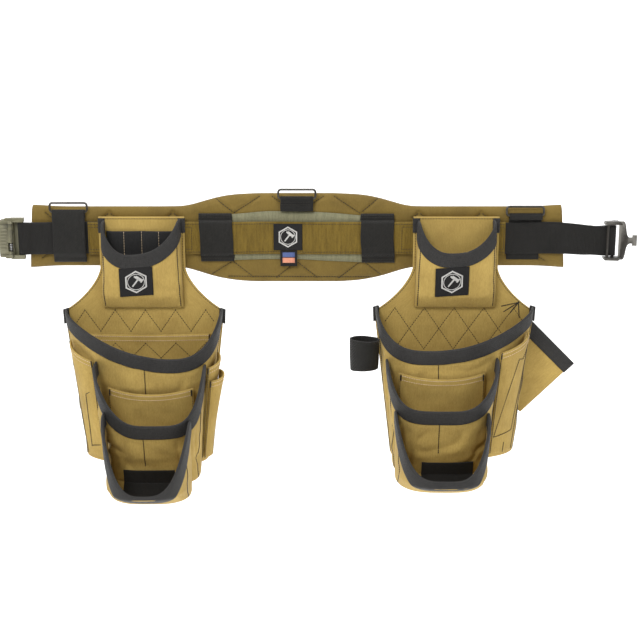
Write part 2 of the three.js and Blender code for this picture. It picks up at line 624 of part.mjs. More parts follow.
// The right pouch has a webbing hammer loop on its inner side and a square pocket behind its outer side.
const LOOP = { across: 136.6, forward: 48, wide: 21.6, deep: 18, top: -148, height: 46 };
const loopSection = (radius) => {
  const shape = new THREE.Path();
  shape.absellipse(LOOP.across, LOOP.forward, LOOP.wide + radius, LOOP.deep + radius, 0, 2 * Math.PI);
  return shape;
};
const loopShape = new THREE.Shape(loopSection(WEBBING / 2).getPoints(24));
loopShape.holes.push(new THREE.Path(loopSection(-WEBBING / 2).getPoints(24)));
const loop = new THREE.ExtrudeGeometry(loopShape, { depth: LOOP.height, bevelEnabled: false });
loop.rotateZ(Math.PI); // across and forward both turn negative, as the right pouch is mirrored
loop.translate(right.spec.x, 0, LOOP.top - LOOP.height);
add("hammer_loop", loop, "black");

// Its mouth faces out and up, at 45 degrees; the wearer's speed square drops in behind the back panel.
const SQUARE = { across: -145, z: -154, length: 118, reach: 112, forward: 11.6, tape: 21 };
const diagonal = Math.SQRT1_2;
function squareSheet(from, to) {
  return (u, v) => {
    const along = mix(-0.5, 0.5, u) * SQUARE.length * diagonal;
    const inward = mix(to, from, v) * diagonal;
    return [SQUARE.across - along + inward, SQUARE.forward, SQUARE.z - along - inward];
  };
}
right.cloth("square_pocket", squareSheet(SQUARE.tape + GAP, SQUARE.reach), "canvas", CANVAS, 3, 3);
right.cloth("square_binding", squareSheet(0, SQUARE.tape), "tape", TAPE, 3, 1);

export default toolBelt;
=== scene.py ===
import json
import math

import bmesh
import bpy
from mathutils import Matrix, Vector, geometry, noise

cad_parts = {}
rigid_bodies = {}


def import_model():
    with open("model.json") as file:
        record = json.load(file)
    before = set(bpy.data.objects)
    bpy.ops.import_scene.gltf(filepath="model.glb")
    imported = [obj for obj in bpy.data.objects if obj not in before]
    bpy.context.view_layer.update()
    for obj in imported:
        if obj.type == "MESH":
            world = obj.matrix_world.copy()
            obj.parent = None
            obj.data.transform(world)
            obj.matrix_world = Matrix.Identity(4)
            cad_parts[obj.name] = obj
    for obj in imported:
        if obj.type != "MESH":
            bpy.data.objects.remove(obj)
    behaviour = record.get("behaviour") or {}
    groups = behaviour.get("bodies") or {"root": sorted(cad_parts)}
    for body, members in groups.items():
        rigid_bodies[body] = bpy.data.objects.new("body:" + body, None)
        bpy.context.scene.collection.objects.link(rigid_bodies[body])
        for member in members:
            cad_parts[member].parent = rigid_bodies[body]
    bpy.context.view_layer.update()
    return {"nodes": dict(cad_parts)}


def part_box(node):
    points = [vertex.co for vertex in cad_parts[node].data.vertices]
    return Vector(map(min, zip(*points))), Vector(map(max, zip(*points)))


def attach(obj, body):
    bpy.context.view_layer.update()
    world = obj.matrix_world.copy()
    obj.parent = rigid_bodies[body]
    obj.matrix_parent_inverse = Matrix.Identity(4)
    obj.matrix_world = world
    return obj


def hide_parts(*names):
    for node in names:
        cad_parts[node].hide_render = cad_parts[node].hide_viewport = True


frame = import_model()

# ---- The room: camera, backdrop and lamps ---------------------------------------------------------
# The belt hangs as it is worn, a little above a white cove. Two large soft boxes stand in front of it.
camera_data = bpy.data.cameras.new("camera")
camera_data.lens = 71.25
camera = bpy.data.objects.new("camera", camera_data)
camera.location = (0.0345, -1.8893, 0.3403)
camera.rotation_euler = (math.radians(76), 0, 0)
bpy.context.scene.collection.objects.link(camera)
bpy.context.scene.camera = camera
bpy.context.scene.view_settings.view_transform = "Standard"

floor_z = -0.72
cove_start, cove_radius, wall_height, floor_front = 2.4, 0.8, 2.6, -4.0


def cove_point(across, along):
    """A point of the cove: along runs from the front of the floor, round the bend and up the wall."""
    flat = cove_start - floor_front
    bend = cove_radius * math.pi / 2
    at = along * (flat + bend + wall_height)
    if at < flat:
        return Vector((across, floor_front + at, floor_z))
    if at < flat + bend:
        turn = (at - flat) / cove_radius
        return Vector((across, cove_start + cove_radius * math.sin(turn),
                       floor_z + cove_radius * (1 - math.cos(turn))))
    return Vector((across, cove_start + cove_radius, floor_z + cove_radius + at - flat - bend))


def principled(name, colour, roughness, metallic=0.0):
    """A new material, and its node tree and surface shader."""
    material = bpy.data.materials.new(name)
    material.use_nodes = True
    shader = material.node_tree.nodes["Principled BSDF"]
    shader.inputs["Base Color"].default_value = (*colour, 1)
    shader.inputs["Roughness"].default_value = roughness
    shader.inputs["Metallic"].default_value = metallic
    return material, material.node_tree, shader


cove_paper, _, cove_shader = principled("cove_paper", (0.93, 0.93, 0.93), 0.9)
cove_shader.inputs["Emission Color"].default_value = (1, 1, 1, 1)
cove_shader.inputs["Emission Strength"].default_value = 0.45
cove_mesh = bpy.data.meshes.new("cove")
bm = bmesh.new()
bmesh.ops.create_grid(bm, x_segments=2, y_segments=90, size=0.5)
for vert in bm.verts:
    vert.co = cove_point(vert.co.x * 16, vert.co.y + 0.5)
bmesh.ops.recalc_face_normals(bm, faces=bm.faces)
bm.to_mesh(cove_mesh)
bm.free()
cove_mesh.polygons.foreach_set("use_smooth", [True] * len(cove_mesh.polygons))
cove_mesh.materials.append(cove_paper)
cove = bpy.data.objects.new("cove", cove_mesh)
bpy.context.scene.collection.objects.link(cove)


def soft_box(name, place, aim, size, power):
    lamp = bpy.data.lights.new(name, "AREA")
    lamp.shape = "RECTANGLE"
    lamp.size, lamp.size_y = size
    lamp.energy = power
    box = bpy.data.objects.new(name, lamp)
    box.location = place
    box.rotation_euler = (Vector(aim) - Vector(place)).to_track_quat("-Z", "Y").to_euler()
    bpy.context.scene.collection.objects.link(box)


soft_box("key_box", (-0.8, -1.9, 1.5), (0, 0, -0.15), (0.9, 0.8), 40)
soft_box("fill_box", (1.6, -1.9, 0.7), (0, 0, -0.15), (0.9, 1.0), 8)
soft_box("cove_box", (0, 0.25, 2.2), (0, 1.2, 0), (3.4, 0.6), 60)
world = bpy.data.worlds.new("studio_air")
world.use_nodes = True
world.node_tree.nodes["Background"].inputs["Color"].default_value = (1, 1, 1, 1)
world.node_tree.nodes["Background"].inputs["Strength"].default_value = 0.48
bpy.context.scene.world = world

# ---- The padded back support ----------------------------------------------------------------------
# A foam core between a tan canvas front and a black spacer-mesh back, turned and topstitched round the edge and
# quilted with dark bonded thread. The middle stands taller to spread the load over the wearer's hips.


def mix(a, b, t):
    return a + (b - a) * t


def smooth(low, high, value):
    """0 below low, 1 above high, and an even rise between."""
    t = min(1.0, max(0.0, (value - low) / (high - low)))
    return t * t * (3 - 2 * t)


def group(name, inputs, outputs):
    """A new shader node group, with float and vector inputs and float outputs."""
    tree = bpy.data.node_groups.new(name, "ShaderNodeTree")
    for socket, value in inputs.items():
        kind = "NodeSocketVector" if value is None else "NodeSocketFloat"
        made = tree.interface.new_socket(socket, in_out="INPUT", socket_type=kind)
        if value is not None:
            made.default_value = value
    for socket in outputs:
        tree.interface.new_socket(socket, in_out="OUTPUT", socket_type="NodeSocketFloat")
    return tree, tree.nodes.new("NodeGroupInput").outputs, tree.nodes.new("NodeGroupOutput").inputs


def calc(tree, operation, *values):
    """A Math node of that operation, and its result."""
    node = tree.nodes.new("ShaderNodeMath")
    node.operation = operation
    for slot_number, value in enumerate(values):
        if isinstance(value, (int, float)):
            node.inputs[slot_number].default_value = value
        else:
            tree.links.new(value, node.inputs[slot_number])
    return node.outputs[0]


def grainy(tree, vector, scale, detail=3.0, stretch=(1, 1, 1)):
    """A noise value from about 0 to 1 over a vector in metres, scale to the metre."""
    mapping = tree.nodes.new("ShaderNodeMapping")
    mapping.inputs["Scale"].default_value = stretch
    texture = tree.nodes.new("ShaderNodeTexNoise")
    texture.inputs["Scale"].default_value = scale
    texture.inputs["Detail"].default_value = detail
    tree.links.new(vector, mapping.inputs["Vector"])
    tree.links.new(mapping.outputs["Vector"], texture.inputs["Vector"])
    return texture.outputs["Fac"]


# Threads over and under one another. Lean tilts the pattern towards a twill.
weave, given, made = group("woven_threads", {"Vector": None, "Warp": 0.001, "Weft": 0.001, "Lean": 0.0},
                           ("Height", "ToneAndShade"))
parts = weave.nodes.new("ShaderNodeSeparateXYZ")
weave.links.new(given["Vector"], parts.inputs[0])
slub = calc(weave, "MULTIPLY", calc(weave, "SUBTRACT", grainy(weave, given["Vector"], 160, 2), 0.5), 0.0006)
leaned = calc(weave, "ADD", parts.outputs["X"], calc(weave, "MULTIPLY", parts.outputs["Y"], given["Lean"]))
warp = calc(weave, "SINE", calc(weave, "MULTIPLY", calc(weave, "DIVIDE", calc(weave, "ADD", leaned, slub),
                                                        given["Warp"]), math.pi))
weft = calc(weave, "SINE", calc(weave, "MULTIPLY", calc(weave, "DIVIDE", calc(weave, "ADD", parts.outputs["Y"], slub),
                                                        given["Weft"]), math.pi))
warp_on_top = calc(weave, "GREATER_THAN", calc(weave, "MULTIPLY", warp, weft), 0.0)
ridge = calc(weave, "ADD", calc(weave, "MULTIPLY", calc(weave, "ABSOLUTE", warp), warp_on_top),
             calc(weave, "MULTIPLY", calc(weave, "ABSOLUTE", weft), calc(weave, "SUBTRACT", 1.0, warp_on_top)))
weave.links.new(ridge, made["Height"])
# This colour output mixes random thread tone with painted shade: the ridge height paints each thread's crown lighter
# and the gaps between threads darker.
thread_tone_and_shade = calc(weave, "ADD", calc(weave, "MULTIPLY", ridge, 0.35),
                    calc(weave, "MULTIPLY", grainy(weave, given["Vector"], 900, 1, (1, 0.25, 1)), 0.65))
weave.links.new(thread_tone_and_shade, made["ToneAndShade"])


def fabric(name, dark, light, warp_width, weft_width, lean=0.0, bump=0.35, roughness=0.85, sheen=0.04,
           mottle=0.5, streaks=0.28, streak_scale=420):
    """A woven cloth in the piece's own UV map, which is in metres. Colours are linear."""
    material, tree, shader = principled(name, light, roughness)
    place = tree.nodes.new("ShaderNodeTexCoord")
    threads = tree.nodes.new("ShaderNodeGroup")
    threads.node_tree = weave
    threads.inputs["Warp"].default_value = warp_width
    threads.inputs["Weft"].default_value = weft_width
    threads.inputs["Lean"].default_value = lean
    tree.links.new(place.outputs["UV"], threads.inputs["Vector"])
    cloud = grainy(tree, place.outputs["Object"], 22, 4)
    streak = grainy(tree, place.outputs["UV"], streak_scale, 3, (1, 0.12, 1))
    # The colour runs from dark to light with the weave's random thread tone and painted thread shade, the cloud's
    # random mottling, and the streaks. The same streak noise raises ribs in the bump below, so the raised ribs are
    # painted lighter: partly yarn tone, partly painted highlight.
    share = calc(tree, "ADD", calc(tree, "MULTIPLY", threads.outputs["ToneAndShade"], 0.55),
                 calc(tree, "ADD", calc(tree, "MULTIPLY", cloud, mottle), calc(tree, "MULTIPLY", streak, streaks)))
    ramp = tree.nodes.new("ShaderNodeValToRGB")
    ramp.color_ramp.elements[0].position = 0.32
    ramp.color_ramp.elements[0].color = (*dark, 1)
    ramp.color_ramp.elements[1].position = 0.92
    ramp.color_ramp.elements[1].color = (*light, 1)
    tree.links.new(share, ramp.inputs["Fac"])
    tree.links.new(ramp.outputs["Color"], shader.inputs["Base Color"])
    tree.links.new(calc(tree, "ADD", roughness - 0.08, calc(tree, "MULTIPLY", cloud, 0.16)),
                   shader.inputs["Roughness"])
    relief = tree.nodes.new("ShaderNodeBump")
    relief.inputs["Strength"].default_value = bump
    relief.inputs["Distance"].default_value = 0.0006
    height = calc(tree, "ADD", threads.outputs["Height"], calc(tree, "MULTIPLY", streak, 0.8))
    tree.links.new(height, relief.inputs["Height"])
    tree.links.new(relief.outputs["Normal"], shader.inputs["Normal"])
    shader.inputs["Sheen Weight"].default_value = sheen
    shader.inputs["Specular IOR Level"].default_value = 0.25
    return material


canvas = fabric("tan_canvas", (0.25, 0.16, 0.040), (0.52, 0.365, 0.105), 0.0008, 0.0009, roughness=0.82)
pad_canvas = fabric("tan_pad_canvas", (0.086, 0.054, 0.011), (0.190, 0.127, 0.029), 0.0008, 0.0009, mottle=0.7)
spacer_mesh = fabric("black_spacer_mesh", (0.006, 0.006, 0.006), (0.03, 0.03, 0.031), 0.0032, 0.0026, lean=0.5,
                     bump=0.9)
dark_thread, _, _ = principled("dark_bonded_thread", (0.012, 0.009, 0.005), 0.6)
tan_thread, _, _ = principled("pale_bonded_thread", (0.62, 0.47, 0.30), 0.7)


def finished(name, bm, material, body, replaced=(), smooth_faces=True):
    """Turns a bmesh into a piece that rides on a body."""
    mesh = bpy.data.meshes.new(name)
    bm.to_mesh(mesh)
    bm.free()
    mesh.polygons.foreach_set("use_smooth", [smooth_faces] * len(mesh.polygons))
    mesh.materials.append(material)
    piece = bpy.data.objects.new(name, mesh)
    bpy.context.scene.collection.objects.link(piece)
    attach(piece, body)
    if replaced:
        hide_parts(*replaced)
    return piece


def running_length(points):
    """How far along a line of points each one is."""
    lengths = [0.0]
    for a, b in zip(points, points[1:]):
        lengths.append(lengths[-1] + (b - a).length)
    return lengths


def grid_on(surface, columns, rows):
    """A grid bent to surface(u, v), with u and v from 0 to 1, and a UV map in metres."""
    grid = bmesh.new()
    bmesh.ops.create_grid(grid, x_segments=columns, y_segments=rows, size=0.5)
    across = running_length([surface(i / columns, 0.5) for i in range(columns + 1)])
    upward = running_length([surface(0.5, i / rows) for i in range(rows + 1)])
    uv_map = grid.loops.layers.uv.new("UVMap")
    for face in grid.faces:
        for loop in face.loops:
            flat = loop.vert.co
            loop[uv_map].uv = (across[round((flat.x + 0.5) * columns)], upward[round((flat.y + 0.5) * rows)])
    for vert in grid.verts:
        vert.co = surface(vert.co.x + 0.5, vert.co.y + 0.5)
    return grid


def cloth(name, surface, columns, rows, thickness, material, body, replaced=(), rounded=0):
    """A cut of cloth on surface(u, v), half its thickness to each side, its folds rounded that many times."""
    piece = finished(name, grid_on(surface, columns, rows), material, body, replaced)
    if rounded:
        curve = piece.modifiers.new("rounded_folds", "SUBSURF")
        curve.levels = curve.render_levels = rounded
    thick = piece.modifiers.new("cloth_thickness", "SOLIDIFY")
    thick.thickness = thickness
    thick.offset = 0
    return piece


def facing_out(surface, u, v):
    """The unit normal of surface(u, v), on the side that along x up gives."""
    step = 2e-3
    along = surface(min(1, u + step), v) - surface(max(0, u - step), v)
    upward = surface(u, min(1, v + step)) - surface(u, max(0, v - step))
    return along.cross(upward).normalized()


def on_cloth(surface, line, lift, count=60):
    """Points along a line of (u, v) corners, lift off the cloth's middle surface."""
    corners = [Vector(corner) for corner in line]
    total = running_length(corners)[-1]
    points = []
    for a, b in zip(corners, corners[1:]):
        steps = max(2, round(count * (b - a).length / total))
        for i in range(steps):
            u, v = a.lerp(b, i / steps)
            points.append(surface(u, v) + facing_out(surface, u, v) * lift)
    u, v = corners[-1]
    points.append(surface(u, v) + facing_out(surface, u, v) * lift)
    return points


stitch_pitch, stitch_length, thread_width = 0.0040, 0.0034, 0.00105


def sew(seams, line, pitch=stitch_pitch, length=stitch_length, width=thread_width):
    """Lays one stitch after another along a line of points, each a fat little capsule of thread."""
    row = bmesh.new()
    travelled = 0.0
    due = 0.0
    for a, b in zip(line, line[1:]):
        reach = (b - a).length
        if reach < 1e-7:
            continue
        along = (b - a) / reach
        while due < travelled + reach:
            middle = a + along * (due - travelled)
            turn = along.to_track_quat("Z", "Y").to_matrix().to_4x4()
            place = Matrix.Translation(middle) @ turn @ Matrix.Diagonal((width, width, length, 1))
            bmesh.ops.create_uvsphere(row, u_segments=6, v_segments=4, radius=0.5, matrix=place)
            due += pitch
        travelled += reach
    sewn_row = bpy.data.meshes.new("sewn_row")
    row.to_mesh(sewn_row)
    row.free()
    seams.from_mesh(sewn_row)
    bpy.data.meshes.remove(sewn_row)


pad_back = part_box("pad_front_cover")[0]
pad_skin = 0.0019
pad_thick = -pad_back.y
pad_top_edge = ((0.0, 0.066), (0.06, 0.066), (0.099, 0.064), (0.121, 0.060), (0.144, 0.0535), (0.168, 0.0465),
                (0.2, 0.046), (0.36, 0.046), (0.396, 0.0485))
pad_low_edge = ((0.0, -0.069), (0.07, -0.069), (0.098, -0.0665), (0.127, -0.0605), (0.15, -0.0525),
                (0.172, -0.0465), (0.2, -0.0445), (0.36, -0.0445), (0.404, -0.0475))


def by_step(stops, at):
    """The value at a place between stops, which are (place, value) in rising order."""
    if at <= stops[0][0]:
        return stops[0][1]
    for (low, a), (high, b) in zip(stops, stops[1:]):
        if at < high:
            return mix(a, b, (at - low) / (high - low))
    return stops[-1][1]


def eased(stops, at, reach=0.012):
    """by_step with its corners rounded over reach."""
    return sum(by_step(stops, at + shift * reach) for shift in (-1, -0.5, 0, 0.5, 1)) / 5


# The quilting: each line runs from a strip or band out to the pad's topstitched edge.
quilt_upper = ((-0.1215, 0.059, -0.0950, 0.0375), (-0.0565, 0.0615, -0.0940, 0.0375),
               (-0.0365, 0.0615, -0.024, 0.0525), (0.0393, 0.0615, 0.024, 0.0520),
               (0.0566, 0.0615, 0.0945, 0.0365), (0.1200, 0.058, 0.0970, 0.0385))
quilt_lower = ((-0.1280, -0.0555, -0.1000, -0.0380), (-0.0950, -0.0380, -0.0660, -0.0610),
               (-0.0307, -0.0610, -0.0030, -0.0385), (0.0014, -0.0385, 0.0310, -0.0620),
               (0.0634, -0.0620, 0.0944, -0.0380), (0.1036, -0.0390, 0.1266, -0.0570),
               (-0.1030, -0.0600, 0.1116, -0.0610))
quilt_sides = [(x - side * 0.009, 0.030, x, 0.0378) for x in (-0.281, -0.186, 0.183, 0.276) for side in (-1, 1)]
quilt_sides += [(-0.376, 0.0370, -0.364, 0.0265), (-0.384, -0.0310, -0.371, -0.0210),
                (0.368, 0.0345, 0.356, 0.0265), (0.362, -0.0285, 0.3745, -0.0360)]
quilting = [*quilt_upper, *quilt_lower, *quilt_sides]


def from_line(x, z, line):
    """How far (x, z) is from a line's nearest point."""
    a, b, p = Vector(line[:2]), Vector(line[2:]), Vector((x, z))
    t = min(1, max(0, (p - a).dot(b - a) / (b - a).length_squared))
    return (p - a.lerp(b, t)).length


def pad_face(u, v):
    """The pad's canvas front: crowned over the foam, pulled down along its edge and its quilting."""
    x = mix(-0.4, 0.4, u)
    low, high = eased(pad_low_edge, abs(x)), eased(pad_top_edge, abs(x))
    z = mix(low, high, v)
    lean = 1 + 0.004 / 0.4 * (0.5 - v) * 2
    x *= lean
    from_edge = min(z - low, high - z, 0.404 - abs(x))
    puff = math.sqrt(max(0.0, 1 - (1 - min(1, from_edge / 0.014)) ** 2))
    dip = sum(math.exp(-(from_line(x, z, line) / 0.0026) ** 2) for line in quilting if abs(x - line[0]) < 0.24)
    ripple = (noise.noise(Vector((x * 26, 3.1, z * 34))) * 0.0009
              + noise.noise(Vector((x * 90, 7, z * 60))) * 0.0003)
    under_strap = smooth(0.030, 0.024, abs(z))
    forward = mix(pad_skin + 0.0022, pad_thick, puff) - 0.0022 * min(1, dip) + ripple * (1 - under_strap) * puff
    forward = min(forward, pad_thick - 0.0003 * under_strap)
    return Vector((x, -forward, z))


bm = grid_on(pad_face, 440, 80)
sealed = bmesh.ops.extrude_edge_only(bm, edges=[edge for edge in bm.edges if edge.is_boundary])
for vert in [item for item in sealed["geom"] if isinstance(item, bmesh.types.BMVert)]:
    vert.co.y = -pad_skin
bmesh.ops.contextual_create(bm, geom=[edge for edge in bm.edges if edge.is_boundary])
bmesh.ops.recalc_face_normals(bm, faces=bm.faces)
pad_cover = finished("pad_canvas_front", bm, pad_canvas, "padded_belt", ("pad_front_cover", "pad_foam"))


def pad_lining(u, v):
    """The black mesh back, lying flat."""
    x = mix(-0.399, 0.399, u)
    low, high = eased(pad_low_edge, abs(x)) + 0.001, eased(pad_top_edge, abs(x)) - 0.001
    z = mix(low, high, v)
    return Vector((x * (1 + 0.01 * (0.5 - v) * 2), -0.00095, z))


cloth("pad_mesh_back", pad_lining, 200, 40, 0.0016, spacer_mesh, "padded_belt", ("pad_back_lining",))

belt_seams = bmesh.new()


def pad_point(x, z, lift=0.0006):
    """A point on the pad's canvas front."""
    low, high = eased(pad_low_edge, abs(x)), eased(pad_top_edge, abs(x))
    v = (z - low) / (high - low)
    return pad_face((x / (1 + 0.01 * (0.5 - v) * 2) + 0.4) / 0.8, v) + Vector((0, -lift, 0))


for x0, z0, x1, z1 in quilting:
    sew(belt_seams, [pad_point(mix(x0, x1, i / 14), mix(z0, z1, i / 14)) for i in range(15)], width=0.0012)

# ---- The strip, bands and tab sewn to the pad -----------------------------------------------------
# A grey-green webbing strip lies flat behind the strap. Black two-inch bands, turned under at their ends, are
# sewn down above and below the strap, and the outer two and the middle tab hold the suspender rings.
strip_webbing = fabric("grey_green_webbing", (0.085, 0.082, 0.045), (0.235, 0.225, 0.135), 0.0016, 0.0007, bump=0.5,
                       mottle=0.35, streaks=0.6, streak_scale=300)
black_webbing = fabric("black_twill_webbing", (0.0015, 0.0015, 0.0012), (0.021, 0.0195, 0.0165), 0.0022, 0.0012, lean=0.9,
                       bump=0.8, roughness=0.62, mottle=0.4)

strip_top = ((-0.105, 0.0350), (-0.075, 0.0375), (-0.045, 0.0405),
             (0.02, 0.0395), (0.055, 0.0375), (0.104, 0.0330))
strip_foot = ((-0.105, -0.0345), (-0.06, -0.0330), (0.0, -0.0325), (0.05, -0.0355), (0.104, -0.0380))


def strip_face(u, v):
    x = mix(-0.1035, 0.1035, u)
    z = mix(eased(strip_foot, x), eased(strip_top, x), v)
    lift = 0.0006 * noise.noise(Vector((x * 30, z * 20, 4)))
    return Vector((x, -pad_thick - 0.0009 - abs(lift), z))


cloth("grey_green_strip", strip_face, 90, 10, 0.0011, strip_webbing, "padded_belt",
      ("pad_centre_strip",))


def along_path(path, share):
    """The point at that share of a path's length."""
    lengths = running_length(path)
    at = share * lengths[-1]
    for i, (low, high) in enumerate(zip(lengths, lengths[1:])):
        if at <= high:
            return path[i].lerp(path[i + 1], (at - low) / max(high - low, 1e-9))
    return path[-1]


def rounded_path(corners, radius, steps=6):
    """A path through corners that turns each one on a curve of about that radius."""
    path = [corners[0]]
    for before, corner, after in zip(corners, corners[1:], corners[2:]):
        start = corner + (before - corner).normalized() * min(radius, (before - corner).length * 0.49)
        end = corner + (after - corner).normalized() * min(radius, (after - corner).length * 0.49)
        path += [start.lerp(corner, i / steps).lerp(corner.lerp(end, i / steps), i / steps)
                 for i in range(steps + 1)]
    return [*path, corners[-1]]


def arc(centre, radius, start, end, steps=12):
    """Points on an arc in the forward and z plane, from one angle to another in degrees."""
    angles = [math.radians(mix(start, end, i / steps)) for i in range(steps + 1)]
    return [Vector((0, centre.y - radius * math.cos(angle), centre.z + radius * math.sin(angle)))
            for angle in angles]


def band(name, x, width, corners, replaced, body="padded_belt", lean=0.0, thickness=0.0016, rows=70,
         ripple=0.0004):
    """A length of webbing that follows its edge-on path, width wide about x. Lean shifts its foot sideways."""
    def face(u, v):
        point = along_path(corners, v)
        wave = noise.noise(Vector((u * 2.2, v * 6, x * 40))) * ripple
        shift = lean * (0.5 - v) + 0.0012 * noise.noise(Vector((v * 3, x * 50, 2)))
        return point + Vector((x + (u - 0.5) * width + shift, -abs(wave), 0))
    cloth(name, face, 24, rows, thickness, black_webbing, body, replaced)
    return face


def edge_on(*points):
    """Path corners from (forward, z) pairs in millimetres."""
    return [Vector((0, -forward / 1000, z / 1000)) for forward, z in points]


# Each centre band's ends are turned under, so the webbing is double there and bulges over the fold.
for name, x, top, foot, lean in (("left", -0.1208, 37, -36, 0.004), ("right", 0.1208, 36.5, -38, 0.003)):
    path = rounded_path(edge_on(
        (13.4, foot + 10), (13.2, foot + 1.5), (14.8, foot), (15.5, foot + 5), (15.6, foot + 10),
        (19.5, -25), (20.1, -12), (20.1, 12), (19.5, 25),
        (15.6, top - 10), (15.5, top - 5), (14.8, top), (13.2, top - 1.5), (13.4, top - 10)), 0.0035)
    face = band(f"centre_band_{name}_webbing", x, 0.0495, path, (f"centre_band_{name}",), lean=lean, rows=120)
    for share in (0.125, 0.155, 0.845, 0.875):
        sew(belt_seams, on_cloth(face, ((0.04, share), (0.96, share)), 0.0010), width=0.0009)

ring_low, ring_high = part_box("ring_left")
ring_wire = ring_high.y - ring_low.y


def ring_bar(name):
    """The middle of a ring's lower bar."""
    low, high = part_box(name)
    return Vector((0, (low.y + high.y) / 2, low.z + ring_wire / 2))


loop_radius = ring_wire / 2 + 0.0012
left_bar, centre_bar, right_bar = (ring_bar(f"ring_{side}") for side in ("left", "centre", "right"))
left_path = rounded_path([*edge_on((14.2, -29), (14.2, -35), (15.4, -36.5), (16.2, -33), (16.5, -29),
                                   (19.5, -24), (20, 0), (20, 24), (19.2, 33)),
                          *arc(left_bar, loop_radius, 10, 180), *edge_on((13.5, 34), (13.2, 30))], 0.003)
band("end_band_left_webbing", -0.341, 0.0488, left_path, ("end_band_left",), rows=110)
right_path = [*edge_on((12.9, -33), (12.9, -20), (12.9, 10), (12.9, 26)), *arc(right_bar, loop_radius, 180, 0),
              *edge_on((18.7, 30), (18.6, 28))]
band("end_band_right_webbing", 0.341, 0.0488, right_path, ("end_band_right",), lean=-0.003, thickness=0.0014)
tab_path = [*edge_on((18.4, 41), (18.7, 48), (18.7, 54)), *arc(centre_bar, loop_radius, 0, 180),
            *edge_on((13.4, 54), (13.2, 41))]
face = band("centre_ring_tab_webbing", 0.0, 0.0488, tab_path, ("centre_ring_tab",), rows=60)
sew(belt_seams, on_cloth(face, ((0.05, 0.22), (0.95, 0.22)), 0.0010), width=0.0009)
sew(belt_seams, on_cloth(face, ((0.05, 0.30), (0.95, 0.30)), 0.0010), width=0.0009)

# ---- Suspender rings ------------------------------------------------------------------------------
# Rectangles of round steel wire with bent corners, blackened, and worn bright where the webbing rubs. Each turns
# on its lower bar, inside the webbing's loop.
worn, given, made = group("rubbed_edges", {"Amount": 0.5}, ("Mask",))
bevelled = worn.nodes.new("ShaderNodeNewGeometry")
where = worn.nodes.new("ShaderNodeTexCoord")
scratch = grainy(worn, where.outputs["Object"], 900, 4, (1, 0.2, 1))
patch = grainy(worn, where.outputs["Object"], 120, 3)
edge = calc(worn, "MULTIPLY", calc(worn, "SUBTRACT", bevelled.outputs["Pointiness"], 0.5), 6.0)
score = calc(worn, "ADD", edge, calc(worn, "MULTIPLY", calc(worn, "ADD", scratch, patch), given["Amount"]))
mask = calc(worn, "MINIMUM", calc(worn, "MAXIMUM", calc(worn, "MULTIPLY", calc(worn, "SUBTRACT", score, 0.62), 2.0),
                                  0.0), 1.0)
worn.links.new(mask, made["Mask"])


def hard_finish(name, colour, worn_colour, roughness, metallic, amount, mottled=None):
    """A moulded or plated finish that has rubbed through along its edges."""
    material, tree, shader = principled(name, colour, roughness, metallic)
    rub = tree.nodes.new("ShaderNodeGroup")
    rub.node_tree = worn
    rub.inputs["Amount"].default_value = amount
    blend = tree.nodes.new("ShaderNodeMix")
    blend.data_type = "RGBA"
    blend.inputs["A"].default_value = (*colour, 1)
    blend.inputs["B"].default_value = (*worn_colour, 1)
    tree.links.new(rub.outputs["Mask"], blend.inputs["Factor"])
    place = tree.nodes.new("ShaderNodeTexCoord")
    if mottled:
        spots = tree.nodes.new("ShaderNodeValToRGB")
        spots.color_ramp.interpolation = "EASE"
        spots.color_ramp.elements[0].position = 0.44
        spots.color_ramp.elements[0].color = (*colour, 1)
        spots.color_ramp.elements[1].position = 0.54
        spots.color_ramp.elements[1].color = (*mottled, 1)
        tree.links.new(grainy(tree, place.outputs["Object"], 75, 2), spots.inputs["Fac"])
        tree.links.new(spots.outputs["Color"], blend.inputs["A"])
    tree.links.new(blend.outputs["Result"], shader.inputs["Base Color"])
    speck = grainy(tree, place.outputs["Object"], 1400, 3)
    rough = calc(tree, "ADD", roughness - 0.1, calc(tree, "MULTIPLY", speck, 0.2))
    tree.links.new(rough, shader.inputs["Roughness"])
    relief = tree.nodes.new("ShaderNodeBump")
    relief.inputs["Strength"].default_value = 0.25
    relief.inputs["Distance"].default_value = 0.0002
    tree.links.new(speck, relief.inputs["Height"])
    tree.links.new(relief.outputs["Normal"], shader.inputs["Normal"])
    return material


blackened_steel = hard_finish("blackened_steel", (0.045, 0.041, 0.036), (0.20, 0.19, 0.17), 0.42, 0.8, 0.5)


